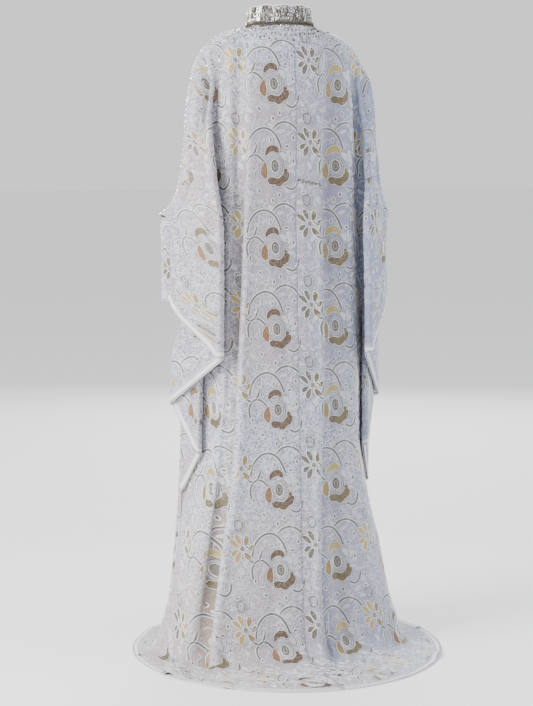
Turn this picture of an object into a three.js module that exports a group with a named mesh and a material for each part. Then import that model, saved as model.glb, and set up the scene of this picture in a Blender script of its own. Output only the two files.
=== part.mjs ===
// Floor-length kaftan, worn and hollow: wide back and front panels whose side
// edges fall in folded cascades, deep cuffs, a beaded stand collar and a hem
// that lies on the floor all round.
// Millimetres, +Z up. The origin is the base of the neck. Front is -Y.
import * as THREE from "three";

// Driving sizes
const FLOOR_Z = -1600;
const WALL = 1.6;
const SEAM_GAP = 0.7;
const LAYER_HALF_GAP = 1.9;
const STACK_ORIGIN = [220, 30];
const STACK_ANGLE = 34;
const SEAM_START_Z = -1191;
const SEAM_FLAT_Z = -1330;
const BELL_TOP_Z = -1560;
const HEM_RADIUS = 402;
const HEM_CENTRE_Y = 50;
const HEM_BACK_EXTRA = 14;
const HEM_SEAM_ANGLE = 94;
const NECK_HALF_WIDTH = 86;
const NECK_BACK_DEPTH = 64;
const NECK_FRONT_DEPTH = 84;
const NECK_SIDE_Z = -4;
const NECK_BACK_RISE = 4;
const NECK_FRONT_DROP = 26;
const CUFF_CENTRE = [268, -30];
const CUFF_RADIUS = 40;
const CUFF_TOP_Z = -481;
const CUFF_BOTTOM_Z = -696;
const COLLAR_HEIGHT = 46;

// Rows of the grid: over the shoulder, down to the cascade's end, then to the hem
const ARC_STEPS = 4;
const HANG_STEPS = 8;
const SKIRT_Z = [-1270, -1345, -1420, -1490, BELL_TOP_Z];
const BELL_STEPS = 3;
const TRAIN_STEPS = 2;

// Back panels, a row for each level. Each fold is [x, y] of its crest or trough.
const BACK_LEFT = [
  { z: -110, centre: [0, 112], panel: [45, 110], ridge: [112, 100], neckA: [119, 92],
    neckB: [126, 84], valley: [134, 76], crest: [156, 72], flank: [170, 56] },
  { z: -220, centre: [0, 124], panel: [52, 123], ridge: [124, 113], neckA: [130, 103],
    neckB: [135, 92], valley: [142, 82], crest: [164, 84], flank: [177, 56] },
  { z: -350, centre: [0, 121], panel: [54, 121], ridge: [129, 115], neckA: [134, 105],
    neckB: [138, 92], valley: [143, 80], crest: [166, 88], flank: [181, 58] },
  { z: -480, centre: [0, 117], panel: [56, 118], ridge: [135, 116], neckA: [139, 106],
    neckB: [143, 92], valley: [147, 80], crest: [168, 88], flank: [185, 54] },
  { z: -650, centre: [0, 129], panel: [60, 129], ridge: [145, 120], neckA: [149, 109],
    neckB: [152, 95], valley: [156, 82], crest: [173, 88], flank: [190, 52] },
  { z: -800, centre: [0, 137], panel: [64, 137], ridge: [155, 124], neckA: [158, 113],
    neckB: [161, 98], valley: [165, 86], crest: [181, 90], flank: [196, 44] },
  { z: -960, centre: [0, 145], panel: [70, 144], ridge: [166, 128], neckA: [169, 117],
    neckB: [172, 102], valley: [176, 90], crest: [190, 88], flank: [199, 38] },
  { z: -1084, centre: [0, 150], panel: [75, 149], ridge: [177, 131], neckA: [180, 120],
    neckB: [184, 105], valley: [188, 92], crest: [200, 86], flank: [202, 37] },
  { z: -1191, centre: [0, 155], panel: [80, 153], ridge: [188, 134], neckA: [191, 122],
    neckB: [195, 107], valley: [199, 95], crest: [216, 91], flank: [230, 38] },
  { z: -1350, centre: [0, 163], panel: [88, 161], ridge: [207, 141], neckA: [211, 129],
    neckB: [215, 114], valley: [220, 101], crest: [240, 95], flank: [262, 48] },
  { z: -1480, centre: [0, 174], panel: [96, 173], ridge: [227, 154], neckA: [231, 143],
    neckB: [235, 129], valley: [240, 116], crest: [263, 105], flank: [286, 58] },
  { z: -1560, centre: [0, 192], panel: [108, 191], ridge: [252, 176], neckA: [257, 166],
    neckB: [261, 154], valley: [266, 144], crest: [293, 124], flank: [312, 72] },
];

const BACK_RIGHT = [
  { z: -110, centre: [0, 112], panel: [30, 112], ridge: [68, 110], neckA: [78, 100],
    neckB: [88, 90], valley: [98, 84], crest: [144, 84], flank: [168, 56] },
  { z: -220, centre: [0, 124], panel: [30, 125], ridge: [66, 122], neckA: [76, 110],
    neckB: [85, 98], valley: [95, 90], crest: [146, 98], flank: [175, 58] },
  { z: -350, centre: [0, 121], panel: [30, 123], ridge: [65, 123], neckA: [75, 108],
    neckB: [85, 93], valley: [96, 84], crest: [150, 102], flank: [180, 60] },
  { z: -480, centre: [0, 117], panel: [30, 120], ridge: [66, 121], neckA: [77, 106],
    neckB: [87, 91], valley: [98, 82], crest: [154, 102], flank: [184, 56] },
  { z: -650, centre: [0, 129], panel: [30, 131], ridge: [68, 131], neckA: [79, 115],
    neckB: [90, 98], valley: [101, 88], crest: [159, 104], flank: [190, 54] },
  { z: -800, centre: [0, 137], panel: [30, 139], ridge: [67, 139], neckA: [79, 122],
    neckB: [91, 104], valley: [102, 94], crest: [165, 104], flank: [196, 44] },
  { z: -960, centre: [0, 145], panel: [29, 147], ridge: [65, 147], neckA: [78, 129],
    neckB: [91, 110], valley: [104, 98], crest: [172, 106], flank: [199, 38] },
  { z: -1084, centre: [0, 150], panel: [29, 152], ridge: [64, 152], neckA: [77, 134],
    neckB: [91, 114], valley: [105, 102], crest: [180, 106], flank: [202, 37] },
  { z: -1191, centre: [0, 155], panel: [29, 158], ridge: [63, 158], neckA: [77, 139],
    neckB: [92, 118], valley: [107, 106], crest: [190, 118], flank: [230, 40] },
  { z: -1350, centre: [0, 163], panel: [29, 166], ridge: [63, 167], neckA: [79, 147],
    neckB: [94, 126], valley: [110, 114], crest: [206, 130], flank: [262, 48] },
  { z: -1480, centre: [0, 174], panel: [30, 178], ridge: [65, 180], neckA: [81, 160],
    neckB: [98, 140], valley: [115, 129], crest: [223, 142], flank: [286, 60] },
  { z: -1560, centre: [0, 192], panel: [32, 197], ridge: [71, 200], neckA: [88, 182],
    neckB: [105, 166], valley: [122, 156], crest: [246, 164], flank: [312, 74] },
];

// Front panels, the same on both sides
const FRONT = [
  { z: -110, centre: [0, -112], panel: [45, -110], ridge: [92, -98], neckA: [102, -92],
    neckB: [112, -84], valley: [124, -76], crest: [152, -68], flank: [170, -54] },
  { z: -220, centre: [0, -132], panel: [50, -130], ridge: [102, -121], neckA: [112, -112],
    neckB: [122, -102], valley: [134, -92], crest: [160, -86], flank: [179, -58] },
  { z: -350, centre: [0, -138], panel: [52, -136], ridge: [108, -127], neckA: [117, -117],
    neckB: [126, -106], valley: [137, -95], crest: [164, -90], flank: [184, -58] },
  { z: -480, centre: [0, -132], panel: [54, -131], ridge: [114, -122], neckA: [122, -112],
    neckB: [131, -101], valley: [141, -91], crest: [166, -86], flank: [190, -48] },
  { z: -650, centre: [0, -134], panel: [58, -134], ridge: [124, -126], neckA: [132, -116],
    neckB: [140, -105], valley: [149, -95], crest: [174, -86], flank: [200, -40] },
  { z: -800, centre: [0, -138], panel: [62, -138], ridge: [134, -132], neckA: [142, -121],
    neckB: [150, -109], valley: [159, -99], crest: [192, -96], flank: [232, -64] },
  { z: -960, centre: [0, -144], panel: [68, -145], ridge: [149, -139], neckA: [157, -128],
    neckB: [165, -116], valley: [174, -106], crest: [210, -106], flank: [248, -70] },
  { z: -1191, centre: [0, -152], panel: [76, -153], ridge: [169, -149], neckA: [177, -138],
    neckB: [185, -126], valley: [194, -116], crest: [230, -108], flank: [262, -62] },
  { z: -1350, centre: [0, -158], panel: [82, -160], ridge: [184, -156], neckA: [192, -145],
    neckB: [200, -132], valley: [210, -121], crest: [246, -104], flank: [276, -54] },
  { z: -1480, centre: [0, -166], panel: [90, -169], ridge: [200, -168], neckA: [208, -157],
    neckB: [217, -145], valley: [226, -136], crest: [263, -110], flank: [293, -50] },
  { z: -1560, centre: [0, -182], panel: [100, -186], ridge: [222, -184], neckA: [231, -174],
    neckB: [240, -164], valley: [250, -154], crest: [290, -120], flank: [318, -52] },
];

// The cascade between flank and sleeve, a row for each level. at and angle place
// its frame, turn is how far each turn reaches out along the frame, half is half
// the width of each turn and start is where the first leg lies.
const STACK_BACK = [
  { z: -110, at: [182, 50], angle: -12, start: -9,
    turn: [0, 0, 0, 0], half: [2.4, 2.4, 2.4, 3.0] },
  { z: -220, at: [193, 42], angle: 0, start: -10,
    turn: [6, 6, 6, -13], half: [3.0, 2.8, 2.8, 6.0] },
  { z: -350, at: [203, 45], angle: 20, start: -12,
    turn: [10, 10, 10, -42], half: [4.4, 3.8, 3.8, 8.0] },
  { z: -480, at: [218, 30], angle: STACK_ANGLE, start: -12,
    turn: [0, 0, 0, -80], half: [5.2, 4.6, 4.6, 8.0] },
  { z: -650, at: STACK_ORIGIN, angle: STACK_ANGLE, start: -12,
    turn: [8, -2, 18, -88], half: [6.0, 6.0, 6.0, 7.5] },
  { z: -700, at: STACK_ORIGIN, angle: STACK_ANGLE, start: -12,
    turn: [10, -2, 17, -88], half: [6.0, 6.0, 6.0, 7.5] },
  { z: -760, at: STACK_ORIGIN, angle: STACK_ANGLE, start: -12,
    turn: [44, 0, 58, -88], half: [6.0, 6.0, 6.0, 7.5] },
  { z: -830, at: STACK_ORIGIN, angle: STACK_ANGLE, start: -12,
    turn: [64, 0, 80, -88], half: [6.2, 6.2, 6.2, 7.5] },
  { z: -960, at: STACK_ORIGIN, angle: STACK_ANGLE, start: -12,
    turn: [72, 2, 88, -80], half: [6.2, 6.2, 6.2, 7.5] },
  { z: -1191, at: STACK_ORIGIN, angle: STACK_ANGLE, start: -12,
    turn: [76, 8, 84, -70], half: [6.2, 6.2, 6.2, 7.5] },
];

// Levels at which the front panel does not yet follow the back one
const STACK_FRONT = [
  { z: -110, at: [184, -47], angle: 8, start: -9,
    turn: [0, 0, 0, 0], half: [2.4, 2.4, 2.4, 3.0] },
  { z: -220, at: [197, -42], angle: 0, start: -12,
    turn: [0, 0, 0, 0], half: [3.2, 3.2, 3.2, 3.2] },
  { z: -350, at: [203, -34], angle: 4, start: -13,
    turn: [0, 0, 0, 0], half: [3.4, 3.4, 3.4, 3.4] },
  { z: -415, at: [214, 0], angle: 28, start: -11,
    turn: [4, 4, 4, 3], half: [4.4, 4.0, 4.0, 4.6] },
  { z: -480, at: [219, 30], angle: STACK_ANGLE, start: -11,
    turn: [13, 13, 13, 10], half: [5.4, 4.8, 4.8, 6.2] },
];

// Sleeve and wing from the last turn out to the cuff, a row for each level
const WING_BACK = [
  { z: -220, w1: [226, 51], w2: [238, 44], w3: [246, 36], w4: [250, 28],
    w5: [252, 22], w6: [254, 16], w7: [256, 10] },
  { z: -350, w1: [222, 72], w2: [238, 58], w3: [251, 38], w4: [258, 30],
    w5: [264, 22], w6: [270, 14], w7: [276, 8] },
  { z: -480, w1: [231, 92], w2: [248, 73], w3: [263, 53], w4: [276, 36],
    w5: [286, 22], w6: [290, 14], w7: [292, 10] },
  { z: -650, w1: [223, 104], w2: [243, 82], w3: [263, 59], w4: [280, 37],
    w5: [292, 18], w6: [297, 8], w7: [299, 3] },
  { z: -800, w1: [223, 102], w2: [243, 80], w3: [263, 56], w4: [280, 33],
    w5: [293, 14], w6: [299, 4], w7: [302, -1] },
];

const WING_FRONT = [
  { z: -220, w1: [216, -47], w2: [229, -46], w3: [238, -42], w4: [244, -38],
    w5: [250, -34], w6: [255, -31], w7: [258, -30] },
  { z: -350, w1: [217, -40], w2: [222, -47], w3: [233, -55], w4: [242, -57],
    w5: [250, -57], w6: [262, -56], w7: [280, -58] },
  { z: -415, w1: [237, 10], w2: [235, -2], w3: [219, -20], w4: [215, -46],
    w5: [226, -66], w6: [250, -80], w7: [290, -71] },
  { z: -480, w1: [257, 32], w2: [262, 23], w3: [246, 8], w4: [222, -8],
    w5: [212, -40], w6: [240, -88], w7: [290, -71] },
  { z: -560, w1: [252, 44], w2: [263, 30], w3: [256, 14], w4: [228, 3],
    w5: [216, -39], w6: [242, -88], w7: [290, -71] },
  { z: -650, w1: [229, 73], w2: [262, 42], w3: [261, 17], w4: [230, 4],
    w5: [216, -39], w6: [242, -88], w7: [290, -71] },
  { z: -700, w1: [225, 84], w2: [259, 48], w3: [270, 12], w4: [240, 4],
    w5: [216, -39], w6: [242, -88], w7: [290, -71] },
  { z: -760, w1: [221, 97], w2: [241, 75], w3: [264, 46], w4: [276, 24],
    w5: [282, 4], w6: [288, -10], w7: [292, -20] },
  { z: -830, w1: [220, 98], w2: [240, 76], w3: [260, 52], w4: [277, 29],
    w5: [290, 10], w6: [296, 0], w7: [299, -5] },
];

// Top line: neckline, shoulder and the outside of the arm. drop is how far the
// cloth takes to round over from the seam into its hang.
const TOP_TORSO = {
  centre: { turn: 0, swell: 1, drop: 110 }, panel: { turn: 24, swell: 1.07, drop: 110 },
  ridge: { turn: 49, swell: 1.05, drop: 105 }, neckA: { turn: 75, swell: 1.03, drop: 100 },
  neckB: { turn: 90, swell: 1, drop: 100 },
  valley: { x: 112, y: -2, z: -9, drop: 98 }, crest: { x: 138, y: -3, z: -15, drop: 94 },
  flank: { x: 158, y: -4, z: -22, drop: 90 },
};
const TOP_STACK = [
  { x: 164, z: -25 }, { x: 167, z: -27 }, { x: 170, z: -29 }, { x: 173, z: -31 },
  { x: 176, z: -33 }, { x: 179, z: -35 }, { x: 182, z: -37 }, { x: 185, z: -40 },
  { x: 188, z: -43 }, { x: 191, z: -46 }, { x: 194, z: -49 }, { x: 197, z: -52 },
  { x: 200, z: -56 }, { x: 203, z: -60 }, { x: 207, z: -65 }, { x: 212, z: -72 },
];
const TOP_STACK_Y = -5;
const TOP_STACK_DROP = 82;
const TOP_WING = [
  { x: 229, y: -5, z: -105, drop: 80 }, { x: 245, y: -6, z: -185, drop: 88 },
  { x: 254, y: -8, z: -290, drop: 88 }, { x: 264, y: -12, z: -385, drop: 80 },
  { x: 276, y: -19, z: -440, drop: 38 }, { x: 297, y: -27, z: -466, drop: 38 },
  { x: 312, y: -30, z: -474, drop: 28 },
];

// Heights of the cascade's lower edge at its turns and out along the wing
const TURN_END_Z = [SEAM_START_Z, -1084, -961, -830];
const WING_END_BACK = [-806, -783, -760, -738, -715, -698, -688];
const WING_END_FRONT = [-804, -775, -712, -640, -572, -526, -512];

// Middle of the arm's hollow, which the sleeve's columns turn round
const ARM_LINE = [
  { z: -100, at: [204, 0] }, { z: -290, at: [214, -4] }, { z: -400, at: [232, -12] },
  { z: -465, at: [264, -29] }, { z: -520, at: CUFF_CENTRE },
];

const TORSO = ["centre", "panel", "ridge", "neckA", "neckB", "valley", "crest", "flank"];
const WING = ["w1", "w2", "w3", "w4", "w5", "w6", "w7"];
const TURNS = 4;
const MAIN_PIECES = TORSO.length + 1;
const FIRST_SLEEVE_PIECE = TORSO.length + 4 * TURNS - 1;
// Columns drawn for each control point of a section after the first
const COLUMN_STEPS = [
  2, 2, 2, 1, 2, 2, 1,
  1, 2, 2, 1, 1, 2, 2, 1, 1, 2, 2, 1, 1, 2, 2, 1,
  1, 2, 2, 1, 1, 3,
];

const lerp = (a, b, t) => a + (b - a) * t;
const lerp2 = (a, b, t) => [lerp(a[0], b[0], t), lerp(a[1], b[1], t)];
const clamp01 = (t) => Math.min(1, Math.max(0, t));
const smooth = (t) => t * t * (3 - 2 * t);
const radians = (degrees) => degrees * Math.PI / 180;

// Value of a number or list between two rows
function mixValue(a, b, t) {
  if (Array.isArray(a)) {
    return a.map((v, i) => lerp(v, b[i], t));
  }
  return lerp(a, b, t);
}

// Row of a table at height z, between the two rows it lies between
function rowAt(table, z) {
  const last = table.length - 1;
  if (z >= table[0].z) {
    return table[0];
  }
  if (z <= table[last].z) {
    return table[last];
  }
  let i = 0;
  while (table[i + 1].z > z) {
    i += 1;
  }
  const t = (table[i].z - z) / (table[i].z - table[i + 1].z);
  const row = {};
  for (const key of Object.keys(table[i])) {
    row[key] = key === "z" ? z : mixValue(table[i][key], table[i + 1][key], t);
  }
  return row;
}

// Cascade's sixteen control points: four round each turn
function stackPoints(row, side) {
  const a = radians(row.angle);
  const across = [Math.cos(a), Math.sin(a)];
  const out = [Math.sin(a), -Math.cos(a)];
  const place = (reach, lateral) => [
    row.at[0] + out[0] * reach + across[0] * lateral,
    row.at[1] + out[1] * reach + across[1] * lateral,
  ];
  const points = [];
  let lateral = row.start;
  for (let k = 0; k < TURNS; k += 1) {
    const outward = k % 2 === 0 ? 1 : -1;
    const offset = side * LAYER_HALF_GAP;
    const half = row.half[k] + side * outward * LAYER_HALF_GAP * row.nested;
    const middle = lateral + row.half[k];
    const reach = row.turn[k] + offset * row.nested;
    const before = k === 0 ? Math.abs(row.turn[0]) + 30 : Math.abs(row.turn[k] - row.turn[k - 1]);
    const after = k === TURNS - 1 ? 60 : Math.abs(row.turn[k + 1] - row.turn[k]);
    const back = (leg) => outward * Math.min(1.5 * half, 0.42 * leg);
    points.push(place(reach - back(before), middle - half));
    points.push(place(reach, middle - half));
    points.push(place(reach, middle + half));
    points.push(place(reach - back(after), middle + half));
    lateral += 2 * row.half[k];
  }
  return points;
}

// How far the two layers of the cascade lie together at height z
function nestedShare(z) {
  return clamp01((-480 - z) / 40);
}

// Section of one panel at height z, as control points from the centre outwards
function controlPoints(panel, z) {
  const torso = rowAt(panel.torso, z);
  const points = TORSO.map((name) => torso[name]);
  let stack = rowAt(STACK_BACK, z);
  if (panel.front && z > STACK_BACK[4].z) {
    const table = [...STACK_FRONT, STACK_BACK[4]];
    stack = rowAt(table, z);
  }
  const side = panel.front ? 1 : -1;
  const turns = stackPoints({ ...stack, nested: nestedShare(z) }, side);
  const flank = points[points.length - 1];
  if (panel.front) {
    turns[0] = lerp2(flank, turns[1], 0.7);
  }
  openSeam(panel, z, turns);
  points.push(...turns);
  const wing = rowAt(panel.wing, z);
  points.push(...WING.map((name) => wing[name]));
  return points;
}

// Below the cascade the flank opens out from a folded edge to a plain side seam
const SEAM_LINE = [
  { z: -1191, at: [258, -36] }, { z: -1350, at: [277, -6] },
  { z: -1480, at: [299, 4] }, { z: -1560, at: [324, 10] },
];
function openSeam(panel, z, turns) {
  if (z > SEAM_START_Z) {
    return;
  }
  const share = smooth(clamp01((SEAM_START_Z - z) / (SEAM_START_Z - SEAM_FLAT_Z)));
  const seam = rowAt(SEAM_LINE, z).at;
  const way = panel.front ? -1 : 1;
  const end = [seam[0], seam[1] + way * SEAM_GAP / 2];
  const near = [end[0] - 0.5, end[1] + way * 14];
  const far = [2 * end[0] - near[0], 2 * end[1] - near[1]];
  turns[0] = lerp2(turns[0], [end[0] - 9, end[1] + way * 42], share);
  turns[1] = lerp2(turns[1], near, share);
  turns[2] = lerp2(turns[2], far, share);
}

// Point of a clamped quadratic spline: piece i runs round control point i
function splineAt(points, piece, t) {
  const middle = (a, b) => a.map((v, k) => (v + b[k]) / 2);
  const control = points[piece];
  const from = piece === 1 ? points[0] : middle(points[piece - 1], control);
  const last = piece === points.length - 2;
  const to = last ? points[piece + 1] : middle(control, points[piece + 1]);
  const s = 1 - t;
  return control.map((v, k) => s * s * from[k] + 2 * s * t * v + t * t * to[k]);
}

// Every column as a piece of the section and a place along it
const COLUMNS = [{ piece: 1, t: 0 }];
COLUMN_STEPS.forEach((steps, k) => {
  for (let j = 1; j <= steps; j += 1) {
    COLUMNS.push({ piece: k + 1, t: j / steps });
  }
});
const MAIN_COLUMNS = COLUMNS.filter((c) => c.piece <= MAIN_PIECES).length;

// Neckline point of a panel at an angle from the centre
function necklinePoint(turn, swell, front) {
  const u = Math.cos(radians(turn));
  const x = NECK_HALF_WIDTH * Math.sin(radians(turn)) * swell;
  const depth = front ? -NECK_FRONT_DEPTH : NECK_BACK_DEPTH;
  const rise = front ? -NECK_FRONT_DROP : NECK_BACK_RISE;
  return [x, depth * u * swell, NECK_SIDE_Z + rise * u];
}

// Top line's control points: x, y, z and drop
function topPoints(panel) {
  const rows = TORSO.map((name) => {
    const top = TOP_TORSO[name];
    const onNeck = top.turn !== undefined;
    const at = onNeck ? necklinePoint(top.turn, top.swell, panel.front) : [top.x, top.y, top.z];
    return [...at, top.drop];
  });
  for (const top of TOP_STACK) {
    rows.push([top.x, TOP_STACK_Y, top.z, TOP_STACK_DROP]);
  }
  for (const top of TOP_WING) {
    rows.push([top.x, top.y, top.z, top.drop]);
  }
  return rows;
}

// Lower ends of the columns above the seam, as control values
function endHeights(panel) {
  const ends = TORSO.map(() => [SEAM_START_Z]);
  for (let k = 0; k < TURNS; k += 1) {
    const before = k === 0 ? SEAM_START_Z : lerp(TURN_END_Z[k], TURN_END_Z[k - 1], 0.08);
    const after = k === TURNS - 1 ? TURN_END_Z[k] : lerp(TURN_END_Z[k], TURN_END_Z[k + 1], 0.08);
    ends.push([before], [TURN_END_Z[k]], [TURN_END_Z[k]], [after]);
  }
  const wing = panel.front ? WING_END_FRONT : WING_END_BACK;
  ends.push(...wing.map((z) => [z]));
  return ends;
}

// Hem point on the floor at a share of the way from the centre to the side seam
function hemPoint(share, front) {
  const turned = share * HEM_SEAM_ANGLE;
  const angle = radians(front ? 180 - share * (180 - HEM_SEAM_ANGLE) : turned);
  const extra = HEM_BACK_EXTRA * Math.max(0, Math.cos(angle)) ** 2;
  const radius = HEM_RADIUS + extra;
  return [radius * Math.sin(angle), HEM_CENTRE_Y + radius * Math.cos(angle)];
}

// Plan position of cloth that rounds over the shoulder from its seam
function overShoulder(start, end, turn) {
  const x = lerp(start[0], end[0], smooth(1 - Math.cos(turn)));
  return [x, lerp(start[1], end[1], Math.sin(turn))];
}

// Plan position of cloth that turns round the arm from the top line
function roundArm(start, end, turn, front) {
  const polar = ([x, y, z]) => {
    const [cx, cy] = rowAt(ARM_LINE, z).at;
    return [Math.hypot(x - cx, y - cy), Math.atan2(y - cy, x - cx)];
  };
  const [r0, a0] = polar(start);
  const [r1, angle] = polar(end);
  const full = 2 * Math.PI;
  const a1 = front ? angle - full * Math.ceil((angle - a0) / full)
    : angle + full * Math.ceil((a0 - angle) / full);
  const share = Math.sin(turn);
  const [cx, cy] = rowAt(ARM_LINE, lerp(start[2], end[2], 1 - Math.cos(turn))).at;
  const r = lerp(r0, r1, smooth(share));
  const a = lerp(a0, a1, share);
  return [cx + r * Math.cos(a), cy + r * Math.sin(a)];
}

// Middle surface of one panel as rows of points for each column
function panelColumns(panel) {
  const top = topPoints(panel);
  const ends = endHeights(panel);
  const floor = FLOOR_Z + WALL / 2;
  const bell = [0];
  const bellPoints = controlPoints(panel, BELL_TOP_Z);
  for (let c = 1; c < MAIN_COLUMNS; c += 1) {
    const a = splineAt(bellPoints, COLUMNS[c - 1].piece, COLUMNS[c - 1].t);
    const b = splineAt(bellPoints, COLUMNS[c].piece, COLUMNS[c].t);
    bell.push(bell[c - 1] + Math.hypot(b[0] - a[0], b[1] - a[1]));
  }
  return COLUMNS.map(({ piece, t }, c) => {
    const [topX, topY, topZ, drop] = splineAt(top, piece, t);
    const [endZ] = splineAt(ends, piece, t);
    const seamY = (panel.front ? -1 : 1) * SEAM_GAP / 2;
    const at = (z) => splineAt(controlPoints(panel, z), piece, t);
    const hang = at(topZ - drop);
    const column = [];
    for (let i = 0; i <= ARC_STEPS; i += 1) {
      const turn = (Math.PI / 2) * (i / ARC_STEPS);
      const z = topZ - drop * (1 - Math.cos(turn));
      const start = [topX, topY + seamY, topZ];
      const end = [hang[0], hang[1], topZ - drop];
      const place = piece > FIRST_SLEEVE_PIECE ? roundArm : overShoulder;
      column.push([...place(start, end, turn, panel.front), z]);
    }
    for (let i = 1; i <= HANG_STEPS; i += 1) {
      const z = lerp(topZ - drop, endZ, i / HANG_STEPS);
      const [x, y] = at(z);
      column.push([x, y, z]);
    }
    if (c >= MAIN_COLUMNS) {
      return column;
    }
    for (const z of SKIRT_Z) {
      const [x, y] = at(z);
      column.push([x, y, z]);
    }
    const foot = at(BELL_TOP_Z);
    const hem = hemPoint(bell[c] / bell[bell.length - 1], panel.front);
    const knee = lerp2(foot, hem, 0.1);
    const land = lerp2(foot, hem, 0.34);
    for (let i = 1; i <= BELL_STEPS; i += 1) {
      const u = i / BELL_STEPS;
      const s = 1 - u;
      const x = s * s * foot[0] + 2 * s * u * knee[0] + u * u * land[0];
      const y = s * s * foot[1] + 2 * s * u * knee[1] + u * u * land[1];
      column.push([x, y, s * s * BELL_TOP_Z + (1 - s * s) * floor]);
    }
    for (let i = 1; i <= TRAIN_STEPS; i += 1) {
      const [x, y] = lerp2(land, hem, i / TRAIN_STEPS);
      column.push([x, y, floor]);
    }
    return column;
  });
}

// Closed wall on a middle surface, given as points and quads
function wallGeometry(points, quads, thickness) {
  const tris = [];
  for (const [a, b, c, d] of quads) {
    const ac = points[a].distanceTo(points[c]);
    const bd = points[b].distanceTo(points[d]);
    if (ac <= bd) {
      tris.push([a, b, c], [a, c, d]);
    } else {
      tris.push([a, b, d], [b, c, d]);
    }
  }
  const normals = points.map(() => new THREE.Vector3());
  const edges = new Map();
  for (const tri of tris) {
    const [a, b, c] = tri.map((i) => points[i]);
    const n = b.clone().sub(a).cross(c.clone().sub(a));
    tri.forEach((i) => normals[i].add(n));
    for (let k = 0; k < 3; k += 1) {
      const from = tri[k];
      const to = tri[(k + 1) % 3];
      if (!edges.delete(`${to},${from}`)) {
        edges.set(`${from},${to}`, [from, to]);
      }
    }
  }
  const half = thickness / 2;
  const shell = [1, -1].flatMap((way) => points.map((p, i) => {
    const q = p.clone().addScaledVector(normals[i].clone().normalize(), way * half);
    q.z = Math.max(q.z, FLOOR_Z);
    return q;
  }));
  const count = points.length;
  const faces = [];
  for (const [a, b, c] of tris) {
    faces.push([a, b, c], [a + count, c + count, b + count]);
  }
  for (const [from, to] of edges.values()) {
    faces.push([from, from + count, to], [to, from + count, to + count]);
  }
  return solidGeometry(shell, faces);
}

// Geometry of a closed body, turned so that its faces point out
function solidGeometry(points, faces) {
  let volume = 0;
  for (const [a, b, c] of faces) {
    volume += points[a].dot(points[b].clone().cross(points[c]));
  }
  const index = faces.flatMap(([a, b, c]) => (volume > 0 ? [a, b, c] : [a, c, b]));
  const geometry = new THREE.BufferGeometry();
  geometry.setAttribute("position", new THREE.Float32BufferAttribute(
    points.flatMap((p) => [p.x, p.y, p.z]), 3));
  geometry.setIndex(index);
  geometry.computeVertexNormals();
  return geometry;
}

// Panel solid: the torso's columns run to the hem, the cascade's end above it
function panelGeometry(panel) {
  const columns = panelColumns(panel);
  const points = [];
  const ids = columns.map((column) => column.map(([x, y, z]) => {
    points.push(new THREE.Vector3(panel.mirror * x, y, z));
    return points.length - 1;
  }));
  const quads = [];
  for (let c = 0; c + 1 < columns.length; c += 1) {
    const rows = Math.min(ids[c].length, ids[c + 1].length);
    for (let r = 0; r + 1 < rows; r += 1) {
      quads.push([ids[c][r], ids[c + 1][r], ids[c + 1][r + 1], ids[c][r + 1]]);
    }
  }
  if (panel.centreShift) {
    for (const id of ids[0]) {
      points[id].x += panel.mirror * panel.centreShift;
    }
  }
  return wallGeometry(points, quads, WALL);
}

// Deep cuff: a soft tube round the forearm, open at both ends
const CUFF_SECTIONS = [
  { share: 0, swell: -1.6 }, { share: 0.12, swell: 0.2 }, { share: 0.3, swell: -0.8 },
  { share: 0.5, swell: -1.9 }, { share: 0.68, swell: -0.6 }, { share: 0.86, swell: -0.2 },
  { share: 1, swell: -1.6 },
];
const CUFF_SIDES = 28;
function cuffGeometry(mirror) {
  const points = [];
  for (const { share, swell } of CUFF_SECTIONS) {
    for (let k = 0; k < CUFF_SIDES; k += 1) {
      const a = 2 * Math.PI * k / CUFF_SIDES;
      const r = CUFF_RADIUS - WALL / 2 + swell;
      const x = CUFF_CENTRE[0] + r * Math.cos(a);
      const y = CUFF_CENTRE[1] + r * Math.sin(a);
      points.push(new THREE.Vector3(mirror * x, y, lerp(CUFF_TOP_Z, CUFF_BOTTOM_Z, share)));
    }
  }
  return wallGeometry(points, ringQuads(CUFF_SECTIONS.length, CUFF_SIDES), WALL);
}

function ringQuads(rings, sides) {
  const quads = [];
  for (let r = 0; r + 1 < rings; r += 1) {
    for (let k = 0; k < sides; k += 1) {
      const n = (k + 1) % sides;
      quads.push([r * sides + k, r * sides + n, (r + 1) * sides + n, (r + 1) * sides + k]);
    }
  }
  return quads;
}

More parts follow.
